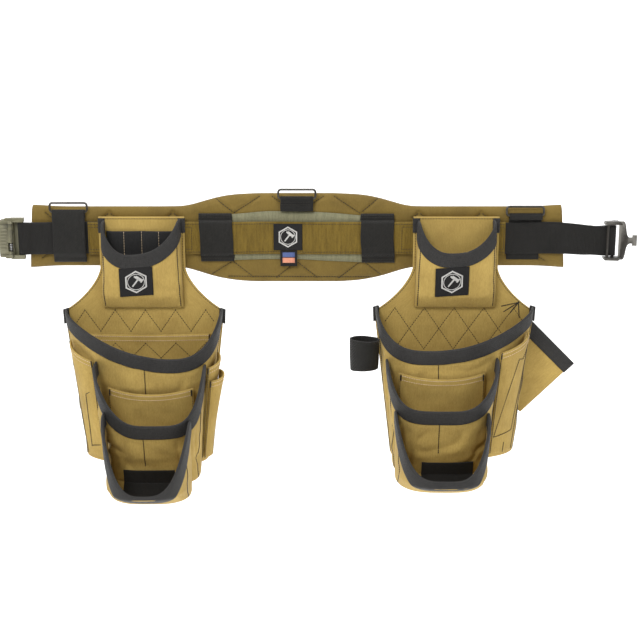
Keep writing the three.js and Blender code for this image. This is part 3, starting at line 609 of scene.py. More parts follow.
def wire_ring(name, node, body):
    """Bends a round wire into the ring's rectangle: a straight side, then a quarter turn, four times."""
    low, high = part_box(node)
    radius, bend = ring_wire / 2, 0.0042
    middle = (low + high) / 2
    bm = bmesh.new()
    start = Vector((low.x + radius + bend, middle.y, low.z + radius))
    turned = Matrix.Translation(start) @ Matrix.Rotation(math.pi / 2, 4, "Y")
    edges = bmesh.ops.create_circle(bm, segments=16, radius=radius, matrix=turned)["verts"]
    loop_edges = list({edge for vert in edges for edge in vert.link_edges})
    heading = Vector((1, 0, 0))
    sides = ((high.x - low.x) - 2 * (radius + bend), (high.z - low.z) - 2 * (radius + bend)) * 2
    corner = start
    for side in sides:
        grown = bmesh.ops.extrude_edge_only(bm, edges=loop_edges)["geom"]
        verts = [item for item in grown if isinstance(item, bmesh.types.BMVert)]
        loop_edges = [item for item in grown if isinstance(item, bmesh.types.BMEdge)]
        bmesh.ops.translate(bm, verts=verts, vec=heading * side)
        corner = corner + heading * side
        inward = Vector((-heading.z, 0, heading.x))
        centre = corner + inward * bend
        spun = bmesh.ops.spin(bm, geom=[*verts, *loop_edges], cent=centre, axis=(0, -1, 0), angle=math.pi / 2,
                              steps=8, use_duplicate=False)
        loop_edges = [item for item in spun["geom_last"] if isinstance(item, bmesh.types.BMEdge)]
        corner = centre + heading * bend
        heading = inward
    bmesh.ops.remove_doubles(bm, verts=bm.verts, dist=1e-5)
    bmesh.ops.recalc_face_normals(bm, faces=bm.faces)
    return finished(name, bm, blackened_steel, body, (node,))


for side in ("left", "centre", "right"):
    wire_ring(f"{side}_suspender_ring", f"ring_{side}", f"{side}_ring")

# ---- The waist strap and its facing ---------------------------------------------------------------
# Two-inch black webbing right round the waist, doubled back through both halves of the buckle. A tan webbing
# facing is sewn to its front between the end bands, with a box of dark stitches near each end.
receiver_bar = Vector((-0.413, -0.0186, 0))
tab_bar = Vector((0.475, -0.0114, 0))


def turn_round(bar, start, end, radius=0.0036, steps=14):
    """Points round an upright bar, seen from above, from one angle to another in degrees."""
    angles = [math.radians(mix(start, end, i / steps)) for i in range(steps + 1)]
    return [bar + Vector((radius * math.cos(angle), -radius * math.sin(angle), 0)) for angle in angles]


def from_above(*points):
    return [Vector((x / 1000, -forward / 1000, 0)) for x, forward in points]


strap_plan = [*from_above((-332, 17.2), (-372, 17.3), (-398, 17.6), (-404, 20.2)),
              *turn_round(receiver_bar, 40, 270),
              *from_above((-405, 15), (-380, 15), (0, 15), (360, 15), (430, 15), (462, 15)),
              *turn_round(tab_bar, 90, -90), *from_above((462, 8.2), (445, 10.2), (438, 11.5))]
strap_plan = rounded_path(strap_plan, 0.004, 4)


def strap_face(u, v):
    """The strap, along its length and up its width, with the creases and curl of its free right end."""
    point = along_path(strap_plan, u)
    x = point.x
    half = mix(0.0240, 0.0228, smooth(0.36, 0.45, x)) * mix(1, 0.955, math.exp(-((x - 0.447) / 0.012) ** 2))
    droop = -0.004 * smooth(0.38, 0.46, x)
    free = smooth(0.352, 0.385, x) * smooth(0.472, 0.455, x)
    crease = math.exp(-((x - 0.391 - 0.012 * v) / 0.006) ** 2) + 0.8 * math.exp(-((x - 0.446) / 0.005) ** 2)
    lean = 0.0016 * noise.noise(Vector((x * 14, v, 9))) * (1 if x > 0 else 0.7)
    push = free * (0.0011 * crease + 0.0012 * noise.noise(Vector((x * 45, v * 1.6, 1))))
    curl = free * 0.0018 * (2 * v - 1) ** 4
    return Vector((x, point.y - push - curl, (2 * v - 1) * half + droop + lean))


# Its strong light streaks are mostly painted highlights along its crinkled ribs, with some yarn tone.
strap_webbing = fabric("black_strap_webbing", (0.0004, 0.0004, 0.0004), (0.0130, 0.0120, 0.0105), 0.0020, 0.0008,
                       bump=0.9, roughness=0.6, mottle=0.5, streaks=0.85, streak_scale=240)
cloth("waist_strap_webbing", strap_face, 620, 12, 0.0016, strap_webbing, "waist_strap",
      ("waist_webbing",))

tan_webbing = fabric("tan_ribbed_webbing", (0.050, 0.030, 0.003), (0.205, 0.133, 0.020), 0.0019, 0.0006, bump=0.7,
                     roughness=0.78, mottle=0.25, streaks=0.75, streak_scale=260)
facing_low, facing_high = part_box("webbing_facing")


def facing_face(u, v):
    x = mix(facing_low.x, facing_high.x, u)
    wave = 0.0009 * noise.noise(Vector((x * 12, 5, 5)))
    edge = mix(facing_low.z, facing_high.z, v) * 0.985 + wave
    bulge = 0.0005 * noise.noise(Vector((x * 40, v * 3, 2))) + 0.0003 * math.sin(x * 2 * math.pi / 0.0042)
    return Vector((x, (facing_low.y + facing_high.y) / 2 + 0.0002 - bulge * 0.5, edge))


cloth("strap_tan_facing", facing_face, 640, 12, 0.0014, tan_webbing, "waist_strap",
      ("webbing_facing",))

strap_seams = bmesh.new()
facing_lift = 0.0009


def facing_line(corners):
    """Stitches between corners given as (x, z) in millimetres on the facing."""
    wide, tall = facing_high.x - facing_low.x, facing_high.z - facing_low.z
    line = [((x / 1000 - facing_low.x) / wide, (z / 1000 - facing_low.z) / tall) for x, z in corners]
    sew(strap_seams, on_cloth(facing_face, line, facing_lift, 40), width=0.0009)


for inner, outer in ((-158, -176), (157, 175), (-296, -311), (294, 310)):
    facing_line(((inner, -17), (inner, 17), (outer, 17), (outer, -17), (inner, -17)))
for height in (-21.5, 21.5):
    facing_line(((-311, height), (310, height)))

# ---- Woven labels ---------------------------------------------------------------------------------
# Black damask labels with a plain hexagon and hammer woven in white. The belt's has a small two-colour tab folded
# into its lower seam.
label_black = fabric("black_damask_label", (0.002, 0.002, 0.002), (0.014, 0.013, 0.013), 0.0006, 0.0005, bump=0.4,
                     roughness=0.7)
label_white = fabric("white_label_yarn", (0.42, 0.41, 0.39), (0.85, 0.84, 0.8), 0.0006, 0.0005, bump=0.5,
                     roughness=0.75, mottle=0.2)
label_blue = fabric("blue_label_yarn", (0.05, 0.075, 0.19), (0.11, 0.15, 0.33), 0.0006, 0.0005, bump=0.4)
label_coral = fabric("coral_label_yarn", (0.5, 0.17, 0.1), (0.8, 0.36, 0.24), 0.0006, 0.0005, bump=0.4)


def woven_sign(name, face, size, body):
    """A hexagon ring round a hammer, laid on face(u, v). Size is the label's width and height in metres."""
    bm = bmesh.new()
    wide, tall = size
    bmesh.ops.create_circle(bm, segments=6, radius=0.40, cap_ends=True)
    inner = bmesh.ops.inset_individual(bm, faces=list(bm.faces), thickness=0.055)
    bmesh.ops.delete(bm, geom=[item for item in bm.faces if item not in inner["faces"]], context="FACES_ONLY")
    inside = bmesh.ops.create_circle(bm, segments=32, radius=0.285, cap_ends=True)["verts"]
    disc = max(inside[0].link_faces, key=lambda face: len(face.verts))
    bmesh.ops.inset_individual(bm, faces=[disc], thickness=0.022)
    middle = max((item for item in bm.faces), key=lambda item: len(item.verts))
    bmesh.ops.delete(bm, geom=[middle], context="FACES_ONLY")
    tilt = Matrix.Rotation(math.radians(-38), 4, "Z")
    for place, shape in (((0, -0.03, 0), (0.05, 0.34, 1)), ((0.0, 0.14, 0), (0.24, 0.10, 1)),
                         ((0.135, 0.14, 0), (0.045, 0.14, 1)), ((-0.14, 0.125, 0), (0.05, 0.055, 1))):
        bmesh.ops.create_grid(bm, x_segments=4, y_segments=4, size=0.5,
                              matrix=tilt @ Matrix.Translation(place) @ Matrix.Diagonal((*shape, 1)))
    bmesh.ops.subdivide_edges(bm, edges=[item for item in bm.edges if item.calc_length() > 0.2], cuts=6)
    bmesh.ops.triangulate(bm, faces=bm.faces)
    uv_map = bm.loops.layers.uv.new("UVMap")
    for corner in (loop for item in bm.faces for loop in item.loops):
        corner[uv_map].uv = (corner.vert.co.x * wide, corner.vert.co.y * tall)
    smaller = min(wide, tall)
    for vert in bm.verts:
        u, v = 0.5 + vert.co.x * smaller / wide, 0.5 + vert.co.y * smaller / tall
        vert.co = face(u, v) + facing_out(face, u, v) * 0.0007
    piece = finished(name, bm, label_white, body)
    thick = piece.modifiers.new("yarn_thickness", "SOLIDIFY")
    thick.thickness = 0.0003
    return piece


def flat_face(node, forward_shift=0.0):
    """A face in the front plane over a node's box."""
    low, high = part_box(node)
    return lambda u, v: Vector((mix(low.x, high.x, u), (low.y + high.y) / 2 - forward_shift
                                - 0.0003 * noise.noise(Vector((u * 2, v * 2, 3))), mix(low.z, high.z, v)))


belt_label_face = flat_face("belt_label")
cloth("belt_woven_label", belt_label_face, 24, 24, 0.0008, label_black, "waist_strap", ("belt_label",))
woven_sign("belt_label_sign", belt_label_face, (0.043, 0.040), "waist_strap")
tab_face = flat_face("belt_tab")
cloth("belt_label_tab", tab_face, 12, 12, 0.0008, label_black, "waist_strap", ("belt_tab",))
for name, material, (u0, u1, v0, v1) in (("blue", label_blue, (0.13, 0.87, 0.58, 0.88)),
                                         ("coral", label_coral, (0.13, 0.87, 0.22, 0.54))):
    cloth(f"belt_tab_{name}",
          lambda u, v: tab_face(mix(u0, u1, u), mix(v0, v1, v)) + Vector((0, -0.0006, 0)), 6, 6,
          0.0004, material, "waist_strap")

# ---- The quick-release buckle ---------------------------------------------------------------------
# The receiver is moulded in mottled olive nylon, with a sprung lever on a steel pin over its slot. The tab half is
# a blackened steel frame with a T-shaped head that drops into the slot.
olive_nylon = hard_finish("mottled_olive_nylon", (0.12, 0.11, 0.055), (0.17, 0.16, 0.10), 0.55, 0.0, 0.45,
                          mottled=(0.04, 0.038, 0.022))
spring_steel = hard_finish("spring_steel", (0.36, 0.36, 0.37), (0.6, 0.6, 0.6), 0.3, 1.0, 0.4)


def softened(name, node, material, body, width, segments=3):
    """A copy of a node with its loose triangles merged and its edges rounded over."""
    bm = bmesh.new()
    bm.from_mesh(frame["nodes"][node].data)
    bmesh.ops.remove_doubles(bm, verts=bm.verts, dist=2e-6)
    bmesh.ops.dissolve_limit(bm, angle_limit=math.radians(2), verts=bm.verts, edges=bm.edges)
    piece = finished(name, bm, material, body, (node,))
    round_over = piece.modifiers.new("rounded_edges", "BEVEL")
    round_over.width = width
    round_over.segments = segments
    round_over.limit_method = "ANGLE"
    round_over.angle_limit = math.radians(35)
    round_over.use_clamp_overlap = True
    round_over.harden_normals = True
    return piece


def moulded_block(name, low, high, rounding, material, body):
    """A block between two corners with all its edges rounded."""
    bm = bmesh.new()
    low, high = Vector(low), Vector(high)
    size = high - low
    bmesh.ops.create_cube(bm, size=1, matrix=Matrix.Translation((low + high) / 2) @ Matrix.Diagonal((*size, 1)))
    bmesh.ops.bevel(bm, geom=bm.edges, affect="EDGES", offset=rounding, segments=3, profile=0.5, material=-1)
    return finished(name, bm, material, body)


softened("buckle_receiver_shell", "receiver_body", olive_nylon, "buckle_receiver", 0.0009)
softened("buckle_release_lever", "release_lever", olive_nylon, "buckle_lever", 0.0008)
lever_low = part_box("release_lever")[0]
for i in range(7):
    height = mix(-0.0145, 0.0145, i / 6)
    moulded_block(f"lever_grip_rib_{i + 1}", (lever_low.x + 0.0022, lever_low.y - 0.0007, height - 0.0011),
                  (lever_low.x + 0.0125, lever_low.y + 0.0008, height + 0.0011), 0.0005, olive_nylon, "buckle_lever")
shell_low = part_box("receiver_body")[0]
for side, shift in (("upper", 1), ("lower", -1)):
    moulded_block(f"receiver_{side}_guard", (shell_low.x - 0.0025, -0.0225, shift * 0.0215 - 0.0065),
                  (shell_low.x + 0.0035, -0.0105, shift * 0.0215 + 0.0055), 0.0016, olive_nylon, "buckle_receiver")
    moulded_block(f"receiver_{side}_cheek", (shell_low.x + 0.006, -0.0225, shift * 0.0287 - 0.0016),
                  (shell_low.x + 0.030, -0.0115, shift * 0.0287 + 0.0016), 0.0012, olive_nylon, "buckle_receiver")
moulded_block("receiver_rear_lip", (shell_low.x + 0.0185, -0.0130, -0.0255),
              (shell_low.x + 0.0260, -0.0092, 0.0255), 0.0006, olive_nylon, "buckle_receiver")
softened("buckle_lever_pin", "lever_pin", blackened_steel, "buckle_receiver", 0.0004)
softened("buckle_lever_spring", "lever_spring", spring_steel, "buckle_receiver", 0.0001, 1)
softened("tab_buckle_frame", "tab_buckle", blackened_steel, "buckle_tab", 0.0008)
softened("tab_buckle_strap_bar", "tab_buckle_bar", blackened_steel, "buckle_tab", 0.0005)

# ---- The pouches' pattern -------------------------------------------------------------------------
# Two hanging pouches cut from one pattern and mirrored. Each is a flat back panel with a narrow neck, and four
# bags that stand out one in front of another. The pattern is in millimetres, across from the panel's centre
# line, forward from the pad's back face, and up.
seam, seam_room, binding_width = 2.0, 3.4, 22
panel_front = 21.5
neck_half, neck_top, neck_straight = 64, 33, -45
shoulder_half, shoulder_z, foot_half = 121, -111, 95
floor_share, corner_share = 0.16, 0.22
floor_allowance = 4.5


class Bag:
    """A bag sewn to a parent surface, which is a depth over (across, z). It is a rounded U in plan."""

    def __init__(self, parent, centre, half_width, depth, powers, rim, feet, seed, sewn=-0.9, slack=1.0):
        self.parent, self.centre, self.half_width, self.depth = parent, centre, half_width, depth
        self.powers, self.rim, self.seed = powers, rim, seed
        self.bottom, self.back_bottom = feet
        self.sewn, self.slack = sewn, slack
        self.slopes = {}

    def in_plan(self, t):
        """Share of the half width and of the depth, from the outer edge at 0 round to the inner edge at 1."""
        c = math.cos(math.pi * t)
        power = self.powers[0] if c > 0 else self.powers[1]
        return -math.copysign(abs(c) ** (2 / power), c), abs(math.sin(math.pi * t)) ** (2 / power)

    def t_at(self, across):
        """How far round the wall it is at that place across, at the foot of the bag's half width."""
        s = (across - self.centre) / self.half_width[-1][1]
        power = self.powers[0] if s < 0 else self.powers[1]
        return math.acos(-math.copysign(abs(s) ** (power / 2), s)) / math.pi

    def wall(self, t, z):
        """The wall as cut, without its creases."""
        s, out = self.in_plan(t)
        across = self.centre + by_step(self.half_width, z) * s
        depth = by_step(self.depth, z)
        edge = mix(self.sewn, seam + 0.012 * depth, min(1.0, out / 0.3))
        return Vector((across, self.parent(across, z) + edge + 0.988 * depth * out, z))

    def rim_at(self, t):
        """The height of the bag's open edge, which dips in front."""
        s = self.in_plan(t)[0]
        outer, inner, front, low, outer_shape, inner_shape = self.rim
        q = (low - s) / (1 + low) if s < low else (s - low) / (1 - low)
        m, k = outer_shape if s < low else inner_shape
        return mix(mix(outer, inner, (s + 1) / 2), front, max(0.0, 1 - q ** m) ** k)

    def outer_depth(self, across, z):
        """How far forward the bag's outside is, with room for a seam."""
        offset = across - self.centre
        s = min(1.0, abs(offset / (by_step(self.half_width, z) + seam_room)))
        power = self.powers[0] if offset < 0 else self.powers[1]
        swell = seam + (by_step(self.depth, z) + seam_room / 2) * (1 - s ** power) ** (1 / power)
        return self.parent(across, z) + (swell if s < 1 else 0)

    def outward(self, t, z):
        """The wall's outward direction, level."""
        along = self.wall(min(1, t + 0.004), z) - self.wall(max(0, t - 0.004), z)
        out = Vector((-along.y, along.x, 0))
        return out.normalized() if out.length > 1e-6 else Vector((0, 1, 0))

    def slope(self, t):
        """How fast the wall runs along and its rim rises there, per unit of t."""
        if t not in self.slopes:
            a, b = max(0.0, t - 0.004), min(1.0, t + 0.004)
            run = (self.wall(b, self.rim_at(t)) - self.wall(a, self.rim_at(t))).xy.length / (b - a)
            self.slopes[t] = max(run, 1.0), (self.rim_at(b) - self.rim_at(a)) / (b - a)
        return self.slopes[t]

    def skin(self, t, z):
        """The wall as it hangs: creased in its middle, flat where it is sewn or bound."""
        run, rise = self.slope(t)
        below_rim = (self.rim_at(t) - z) * run / math.hypot(run, rise)
        free = (smooth(18, 48, below_rim) * smooth(0, 34, z - self.bottom)
                * smooth(0.0, 0.10, t) * smooth(1.0, 0.90, t))
        spot = Vector((t * 3.4 + self.seed, z / 46, self.seed))
        drape = 5.0 * noise.noise(spot) + 2.2 * noise.noise(spot * 2.7)
        pull = 1 - abs(noise.noise(Vector((t * 5 + z / 95, (z / 70 - t * 2), self.seed + 4))))
        tuck = 3.6 * max(0.0, pull - 0.82) / 0.18
        pucker = 0.45 * noise.noise(Vector((t * 22, z / 9, self.seed + 8)))
        return self.wall(t, z) + self.outward(t, z) * ((drape - tuck) * free * self.slack + pucker)

    def shell(self, u, v):
        """Out along the floor from the parent, round the bottom corner, and up the wall to the rim."""
        corner = self.wall(u, self.bottom)
        sewn_at = self.back_bottom + floor_allowance
        back = Vector((corner.x, self.parent(corner.x, sewn_at) + self.sewn, sewn_at))
        reach = corner - back
        turn = min(6.5, 0.45 * reach.length)
        on_floor = corner - reach.normalized() * turn
        if v < floor_share:
            sag = 2.5 * math.sin(math.pi * v / floor_share) * math.sin(math.pi * u)
            return back.lerp(on_floor, v / floor_share) - Vector((0, 0, sag if reach.length > 30 else 0))
        if v < corner_share:
            t = (v - floor_share) / (corner_share - floor_share)
            return on_floor.lerp(corner, t).lerp(corner.lerp(self.skin(u, self.bottom + turn), t), t)
        t = (v - corner_share) / (1 - corner_share)
        return self.skin(u, mix(self.bottom + turn, self.rim_at(u) - 1.2, t))

    def below_rim(self, t, drop):
        """A point of the wall that is drop below its rim, measured square to the rim."""
        run, rise = self.slope(t)
        square = math.hypot(run, rise)
        wanted = t + rise / square * drop / run
        at = min(1.0, max(0.0, wanted))
        return at, self.rim_at(t) - drop * run / square - abs(wanted - at) * run

    def binding(self, u, v):
        """Tape folded over the rim: up the outside, over the edge, and down the inside."""
        fold = 1.75
        legs = 0.42
        width = binding_width + 0.5 * noise.noise(Vector((u * 14, self.seed, 1)))
        if v < legs:
            drop, side = mix(width, fold, v / legs), 1.0
        elif v > 1 - legs:
            drop, side = mix(fold, width - 1, (v - 1 + legs) / legs), -1.0
        else:
            turn = math.pi * (v - legs) / (1 - 2 * legs)
            drop, side = fold - fold * math.sin(turn), math.cos(turn)
        t, z = self.below_rim(u, drop)
        swell = 0.35 * noise.noise(Vector((u * 30, v * 3, self.seed + 2)))
        return self.wall(t, z) + self.outward(t, z) * (side * (fold + abs(swell) * (v < legs)))


def pouch_bags(feet, rims, centres, halves, seed):
    """The neck, main, middle and front bags. The last three hang each on the one behind."""
    main_foot, middle_foot, front_foot = feet
    neck = Bag(lambda a, z: panel_front, 0, ((-106, 60), (30, 56)), ((-106, 3), (-84, 19), (30, 33)), (5, 5),
               rims[0], (-106, -104), seed, 0.6, 0.3)
    main = Bag(lambda a, z: panel_front, 0, ((main_foot, foot_half - 1), (-107, 118)),
               ((main_foot, 50), (-107, 82)), (1.8, 4), rims[1], (main_foot, main_foot), seed + 11, 0.6)
    middle = Bag(lambda a, z: main.outer_depth(a, max(z, main_foot)), centres[0],
                 ((middle_foot, halves[0] - 13), (-161, halves[0])), ((middle_foot, 44), (-161, 68)), (3.2, 3.6),
                 rims[2], (middle_foot, main_foot + 3), seed + 23)
    front = Bag(lambda a, z: middle.outer_depth(a, max(z, middle_foot)), centres[1],
                ((front_foot, halves[1] - 3), (-229, halves[1])),
                ((front_foot, 33), (front_foot + 28, 84), (-300, 74), (-229, 54)), (3, 3.4),
                rims[3], (front_foot, middle_foot + 3), seed + 37)
    return neck, main, middle, front


left_bags = pouch_bags((-340, -356, -370), (
    (28, 30, -19, -0.25, (2.6, 0.9), (2.4, 0.9)), (-107, -107, -166, 0.4, (1.8, 1), (3, 0.7)),
    (-174, -177, -253, 0, (3, 1), (6, 0.7)), (-237, -248, -336, 0, (3, 1), (3.4, 0.8))), (15, 14), (82, 63), 1.5)
right_bags = pouch_bags((-333, -343, -352), (
    (29, 28, -17, 0.1, (2.4, 0.9), (2.6, 0.9)), (-103, -103, -153, 0.35, (1.9, 1), (3.4, 0.7)),
    (-167, -170, -229, 0, (4, 0.9), (6, 0.7)), (-238, -236, -313, 0, (4, 0.9), (4, 0.8))), (23, 25), (82, 68), 60.2)

# ---- Canvas and binding of the pouches ------------------------------------------------------------
# Heavy tan duck with dark bonded seams and pale twin-needle hems. Every open rim is bound in charcoal grosgrain
# tape, folded over it and stitched through.
binding_tape = fabric("charcoal_binding_tape", (0.009, 0.0088, 0.0085), (0.046, 0.044, 0.042), 0.0011, 0.0030,
                      bump=0.7, roughness=0.7, mottle=0.35, streaks=0.3, streak_scale=700)
black_lining = fabric("black_ribbed_lining", (0.007, 0.007, 0.007), (0.032, 0.032, 0.032), 0.0026, 0.0008, bump=0.9)


def panel_edge(v, foot):
    """The back panel's half width and height, from its foot at 0 up round the shoulder to its top at 1."""
    if v < 0.5:
        return mix(foot_half, shoulder_half, v / 0.5), mix(foot, shoulder_z, v / 0.5)
    if v < 0.76:
        t = (v - 0.5) / 0.26
        bend = geometry.interpolate_bezier(
            Vector((shoulder_half, shoulder_z)), Vector((neck_half + 28, shoulder_z + 17)),
            Vector((neck_half + 4, neck_straight - 20)), Vector((neck_half, neck_straight)), 31)
        step = min(29, int(t * 30))
        point = bend[step].lerp(bend[step + 1], t * 30 - step)
        return point.x, point.y
    return neck_half, mix(neck_straight, neck_top, (v - 0.76) / 0.24)


class Pouch:
    """One pouch: where it hangs, which way its square side faces, and the seams of each colour sewn on it."""

    def __init__(self, side, x, hand, bags):
        self.side, self.x, self.hand, self.body = side, x, hand, f"{side}_pouch"
        self.neck, self.main, self.middle, self.front = bags
        self.dark_seams, self.tan_seams = bmesh.new(), bmesh.new()

    def place(self, point):
        """A point of the pattern in the belt's frame."""
        return Vector((self.x + self.hand * point.x, -point.y, point.z)) / 1000

    def hung(self, surface):
        """A surface of the pattern in the belt's frame, its front on the same side for either hand."""
        if self.hand > 0:
            return lambda u, v: self.place(surface(u, v))
        return lambda u, v: self.place(surface(1 - u, v))

    def cloth(self, name, surface, columns, rows, material=None, thickness=1.8, replaced=True, slot="canvas",
              rounded=0):
        nodes = (f"{self.side}_{name}",) if replaced else ()
        cloth(f"{self.side}_pouch_{name}", self.hung(surface), columns, rows, thickness / 1000, material or canvas,
              self.body, nodes, rounded)

    def stitch(self, seams, surface, line, lift=1.1, count=40, **thread):
        """A row of stitches along (u, v) corners of a surface, lift off its middle."""
        if self.hand < 0:
            line = [(1 - u, v) for u, v in line]
        sew(seams, on_cloth(self.hung(surface), line, lift / 1000, count), **thread)

    def stitch_wall(self, seams, bag, line, lift=1.15, **thread):
        """A row of stitches along (t, z) corners of a bag's wall."""
        corners = [Vector(corner) for corner in line]
        points = []
        for a, b in zip(corners, corners[1:]):
            for i in range(30):
                t, z = a.lerp(b, i / 30)
                points.append(self.place(bag.skin(t, z) + bag.outward(t, z) * lift))
        sew(seams, points, **thread)

    def hem(self, surface, inset=(0.03, 0.97), depths=(3.0, 9.5)):
        """Twin rows of pale stitches under a pocket's folded top edge."""
        tall = running_length([self.hung(surface)(0.5, i / 24) for i in range(25)])[-1] * 1000
        for u in inset:
            self.stitch(self.dark_seams, surface, ((u, 1 - depths[1] / tall), (u, 1 - 1 / tall)), lift=1.5,
                        pitch=0.0015, width=0.0022)
        for depth in depths:
            v = 1 - depth / tall
            self.stitch(self.tan_seams, surface, ((inset[0], v), (inset[1], v)), lift=1.2, pitch=0.0036,
                        length=0.0028, width=0.0012)

    def finish_seams(self):
        finished(f"{self.side}_pouch_dark_seams", self.dark_seams, dark_thread, self.body)
        finished(f"{self.side}_pouch_tan_seams", self.tan_seams, tan_thread, self.body)


left = Pouch("left", -232, 1, left_bags)
right = Pouch("right", 238, -1, right_bags)


def zigzag(first, period, count, low, high):
    """Straight stitched legs between points that alternate low and high, in millimetres."""
    points = [(first + i * period / 2, high if i % 2 else low) for i in range(count)]
    return [(*a, *b) for a, b in zip(points, points[1:])]


def main_rim_top(pouch):
    """Where the main bag's rim meets the back panel."""
    return (pouch.main.rim[0] + pouch.main.rim[1]) / 2 + 1


panel_quilts = {
    "left": zigzag(-113, 45.8, 11, -143, -110),
    "right": [*zigzag(-135, 90, 7, -171, -106.5), *zigzag(-135, 90, 7, -106.5, -171)],
}

for pouch in (left, right):
    foot = pouch.main.bottom
    quilts = panel_quilts[pouch.side]

    def panel_face(u, v):
        half, z = panel_edge(v, foot)
        across = mix(-half, half, u)
        dip = max((math.exp(-(from_line(across, z, line) / 1.9) ** 2) for line in quilts
                   if -175 < z < -100 and abs(across - (line[0] + line[2]) / 2) < 30), default=0)
        hem_dip = math.exp(-((half - abs(across) - 3.4) / 1.4) ** 2) if v > 0.5 else 0
        ripple = 0.5 * noise.noise(Vector((across / 26, z / 30, 3 + pouch.x)))
        return Vector((across, panel_front - 1.25 + ripple * (z < -50) - 0.55 * dip - 0.3 * hem_dip, z))

    pouch.cloth("back_panel", panel_face, 96, 150, thickness=2.3)

    def panel_spot(across, z, height=1.35):
        """A point on the front of the back panel."""
        v_low, v_high = 0.0, 1.0
        for _ in range(18):
            middle = (v_low + v_high) / 2
            v_low, v_high = (middle, v_high) if panel_edge(middle, foot)[1] < z else (v_low, middle)
        half = panel_edge(v_low, foot)[0]
        return pouch.place(panel_face((across / half + 1) / 2, v_low) + Vector((0, height, 0)))

    for x0, z0, x1, z1 in quilts:
        inside = [(mix(x0, x1, i / 12), mix(z0, z1, i / 12)) for i in range(13)]
        sew(pouch.dark_seams, [panel_spot(a, z) for a, z in inside if abs(a) < 108], width=0.0012)
    for edge_side in (-1, 1):
        rows = [panel_edge(mix(0.505, 0.985, i / 60), foot) for i in range(61)]
        sew(pouch.dark_seams, [panel_spot(edge_side * (half - 3.4), z) for half, z in rows], width=0.0011)
        rows = [panel_edge(mix(0.02, 0.49, i / 30), foot) for i in range(31)]
        sew(pouch.dark_seams, [pouch.place(Vector((edge_side * (half - 2.6), panel_front - 2.7, z)))
                               for half, z in rows], width=0.0011)
    sew(pouch.dark_seams, [panel_spot(mix(-58, 58, i / 20), neck_top - 3) for i in range(21)], width=0.0011)

    # The channel that the strap runs through is a strip of the same canvas, sewn on behind the neck.
    tunnel = rounded_path([Vector((0, forward, z)) for forward, z in (
        (18.6, neck_top - 0.8), (13.1, neck_top - 1.4), (12.9, 0), (13.1, -37.2), (18.6, -37.6))], 2.4)
    pouch.cloth("belt_tunnel", lambda u, v: along_path(tunnel, v) + Vector((mix(-61, 61, u), 0, 0)), 24, 60,
                thickness=1.2)

    for name, bag, columns, rows in (("neck_pocket", pouch.neck, 44, 36), ("main_bag", pouch.main, 72, 54),
                                     ("middle_bag", pouch.middle, 64, 50), ("front_bag", pouch.front, 60, 48)):
        pouch.cloth(name, bag.shell, columns, rows, rounded=1)
    for name, bag in (("neck_binding", pouch.neck), ("main_binding", pouch.main), ("middle_binding", pouch.middle),
                      ("front_binding", pouch.front)):
        pouch.cloth(name, bag.binding, 110, 14, material=binding_tape, thickness=0.85, slot="binding_tape",
                    rounded=1)

    # The tape of the main bag and of the neck ends folded round the panel's edge.
    for end, across, top, width in (("main", 123, main_rim_top(pouch), 9), ("neck", 64.5, 31, 10)):
        for edge_side, which in ((-1, "outer"), (1, "inner")):
            plan = rounded_path([Vector((edge_side * (across - width), panel_front + 1.3, 0)),
                                 Vector((edge_side * across, panel_front + 1.1, 0)),
                                 Vector((edge_side * across, 18.9, 0)),
                                 Vector((edge_side * (across - width * 0.8), 18.9, 0))], 1.5)
            shoulder = 0.35 if end == "main" else 0.0

            def tape_end(u, v):
                spot = along_path(plan, u)
                drop = binding_width * (1 - v) + shoulder * max(0, abs(spot.x) - across + width)
                tuck = shoulder * edge_side * binding_width * (1 - v) * 0.11
                return spot + Vector((-tuck, 0.2 * noise.noise(Vector((u * 4, v * 3, across))), top - drop))

            pouch.cloth(f"{end}_binding_{which}_end", tape_end, 30, 12, material=binding_tape, thickness=0.85,
                        slot="binding_tape", replaced=False)

    # Dark seams run down both edges of each bag, and down the front of the main and middle bags.
    for bag, edges in ((pouch.neck, (0.17, 0.83)), (pouch.main, (0.05, 0.965)), (pouch.middle, (0.06, 0.90)),
                       (pouch.front, (0.06, 0.88))):
        for t in edges:
            top = bag.rim_at(t) - 3
            pouch.stitch_wall(pouch.dark_seams, bag, ((t, bag.bottom + 6), (t, top)), width=0.0017, pitch=0.0034)
    centre_seam = 8 if pouch is left else 31
    for bag, depth in ((pouch.main, 44), (pouch.middle, 48)):
        t = bag.t_at(centre_seam)
        top = bag.rim_at(t) - binding_width
        pouch.stitch_wall(pouch.dark_seams, bag, ((t, top), (t, top - depth)), width=0.0016, pitch=0.0032)

# ---- Pockets sewn on and inside the bags ----------------------------------------------------------
# Flat patch pockets of the same canvas with a twin-needle hem along their mouths, a webbing bar across the foot
# of the front bag, and a woven label hung from the neck's tape.


def over_wall(bag, span_t, bottom, top, stand_off):
    """A pocket panel over a bag's wall, from one share of the way round to another, standing off it."""
    def face(u, v):
        t, z = mix(*span_t, u), mix(bottom, top(u), v)
        return bag.wall(t, z) + bag.outward(t, z) * stand_off(u, v)
    return face


def billow(least, most, base=0.0):
    """Flat at the seams down a pocket's sides and along its foot, and standing open along its mouth."""
    return lambda u, v: base + least + (most - least) * math.sin(math.pi * u) ** 0.7 * min(1, max(0, v)) ** 1.3


def creased(face, amount, seed):
    """The same face with small creases in its middle."""
    def with_creases(u, v):
        free = math.sin(math.pi * u) * smooth(0, 0.25, v) * smooth(1, 0.82, v)
        broad = noise.noise(Vector((u * 3 + seed, v * 3.3, seed)))
        wave = broad + 0.4 * noise.noise(Vector((u * 9, v * 8, seed)))
        return face(u, v) + Vector((0, amount * wave * free, 0))
    return with_creases


